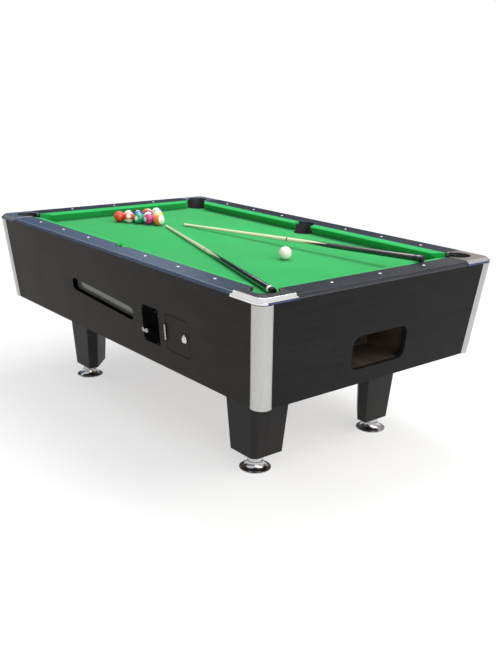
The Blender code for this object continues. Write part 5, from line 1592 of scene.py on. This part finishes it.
# Colour of the surround, low down, by the direction seen from the table, in degrees from +X
SURROUND = [(0.0, (0.70, 0.70, 0.70)), (70.0, (0.66, 0.65, 0.64)), (110.0, (0.42, 0.40, 0.38)),
            (125.0, (0.42, 0.37, 0.34)), (131.0, (0.13, 0.13, 0.14)), (142.0, (0.045, 0.045, 0.055)),
            (146.5, (0.34, 0.46, 0.68)), (150.0, (0.26, 0.36, 0.54)), (156.0, (0.11, 0.16, 0.25)),
            (172.0, (0.08, 0.11, 0.17)), (184.0, (0.05, 0.06, 0.08)), (200.0, (0.05, 0.06, 0.08)),
            (225.0, (0.30, 0.30, 0.30)), (300.0, (0.34, 0.34, 0.34)), (335.0, (0.66, 0.66, 0.66)),
            (360.0, (0.70, 0.70, 0.70))]
SURROUND_DARK = (0.05, 0.06, 0.08, 1.0)
SURROUND_HIGH = grey(0.90)
DARK_FROM = (139 / 360, 141 / 360)  # shares of a turn between which the dark part sets in
DARK_TO = (183 / 360, 186 / 360)    # and fades
DARK_RISE = (0.25, 0.31)         # upward share of the direction between which it sets in
SKY_RISE = (0.38, 0.60)          # and between which the pale part above starts,
SKY_TILT = 0.25                  # which lies higher towards the rear
FLOOR_HALF = 30.0
FLOOR_NEAR = 1.5                 # from the table's middle: pale floor that glows faintly up to here,
FLOOR_FAR = 3.2                  # white from here on


def make_surround():
    """White behind the table, and for its reflections a soft room: darker low behind it, pale above."""
    world = bpy.data.worlds.new("studio")
    bpy.context.scene.world = world
    world.use_nodes = True
    tree = world.node_tree
    soft = tree.nodes["Background"]
    way = put(tree, "ShaderNodeTexCoord").outputs["Generated"]
    parts = put(tree, "ShaderNodeSeparateXYZ", {0: way}).outputs
    turn = calc(tree, "DIVIDE", calc(tree, "ARCTAN2", parts[1], parts[0]), 2 * math.pi)
    share = calc(tree, "FRACT", turn)
    ramp = put(tree, "ShaderNodeValToRGB", {0: share})
    stops = ramp.color_ramp.elements
    while len(stops) < len(SURROUND):
        stops.new(0.5)
    for stop, (degrees, colour) in zip(stops, SURROUND):
        stop.position = degrees / 360.0
        stop.color = (*colour, 1.0)
    behind = calc(tree, "MULTIPLY", spread(tree, share, *DARK_FROM), spread(tree, share, *DARK_TO, 1.0, 0.0))
    dark = calc(tree, "MULTIPLY", behind, spread(tree, parts[2], *DARK_RISE))
    low = tint(tree, dark, ramp.outputs[0], SURROUND_DARK)
    rearward = calc(tree, "MAXIMUM", parts[1], 0.0)
    high = calc(tree, "SUBTRACT", parts[2], calc(tree, "MULTIPLY", rearward, SKY_TILT))
    sky = tint(tree, spread(tree, high, *SKY_RISE), low, SURROUND_HIGH)
    tree.links.new(sky, soft.inputs["Color"])
    white = put(tree, "ShaderNodeBackground", {"Color": grey(1.0), "Strength": 1.0})
    seen = put(tree, "ShaderNodeLightPath").outputs["Is Camera Ray"]
    both = put(tree, "ShaderNodeMixShader", {0: seen, 1: soft.outputs[0], 2: white.outputs[0]})
    tree.links.new(both.outputs[0], tree.nodes["World Output"].inputs["Surface"])


def make_floor():
    """Pale floor that glows everywhere, painted light that lifts the table's shadow on it, and fades to
    glowing white away from the table.
    """
    data = bmesh.new()
    bmesh.ops.create_grid(data, x_segments=1, y_segments=1, size=FLOOR_HALF)
    material, tree, shader = new_material("studio_floor", Specular_IOR_Level=0.05, Emission_Strength=1.0)
    place = on_object(tree)
    away = put(tree, "ShaderNodeVectorMath", {0: place}, operation="LENGTH").outputs["Value"]
    far = spread(tree, away, FLOOR_NEAR, FLOOR_FAR)
    near = tint(tree, mottle(tree, place, 2.0), grey(0.40), grey(0.43))
    base = tint(tree, far, near, grey(0.02))
    set_look(tree, shader, base, spread(tree, mottle(tree, place, 9.0), 0.3, 0.7, 0.7, 0.85))
    # Painted light: the floor glows near the table as well, lifting the shadow under it.
    glow = tint(tree, far, grey(0.56), grey(1.0))
    tree.links.new(glow, shader.inputs["Emission Color"])
    LOOKS["studio_floor"] = material
    new_piece("studio_floor", data, ["studio_floor"])


def make_studio():
    """Floor and surround, a key and a front light beyond the foot end, one overhead and a small one behind."""
    make_floor()
    make_surround()
    make_softbox("key_light", place=(3.6, 1.6, 3.4), target=(0.2, 0.0, 0.6),
                 width=3.2, height=1.8, watts=95.0, colour=(1.0, 0.98, 0.95))
    make_softbox("top_light", place=(-0.5, 0.85, 3.8), target=(-0.1, 0.1, 0.6),
                 width=2.4, height=2.0, watts=82.0, colour=(1.0, 1.0, 1.0))
    make_softbox("front_light", place=(4.8, -1.7, 2.3), target=(0.0, 0.0, 0.6),
                 width=2.6, height=2.0, watts=78.0, colour=(1.0, 0.99, 0.97))
    make_softbox("streak_light", place=(-3.55, 1.98, 2.84), target=(0.6, -0.4, 0.85),
                 width=0.8, height=0.3, watts=2.6, colour=(0.92, 0.96, 1.0))
    bpy.context.scene.view_settings.view_transform = "Standard"


make_cabinet()
make_bed_cloth()
make_cushions()
make_rails()
make_sights()
make_window()
make_coin_gear()
make_cash_door()
make_cash_box()
make_ball_run()
make_game_set()
make_camera()
make_studio()
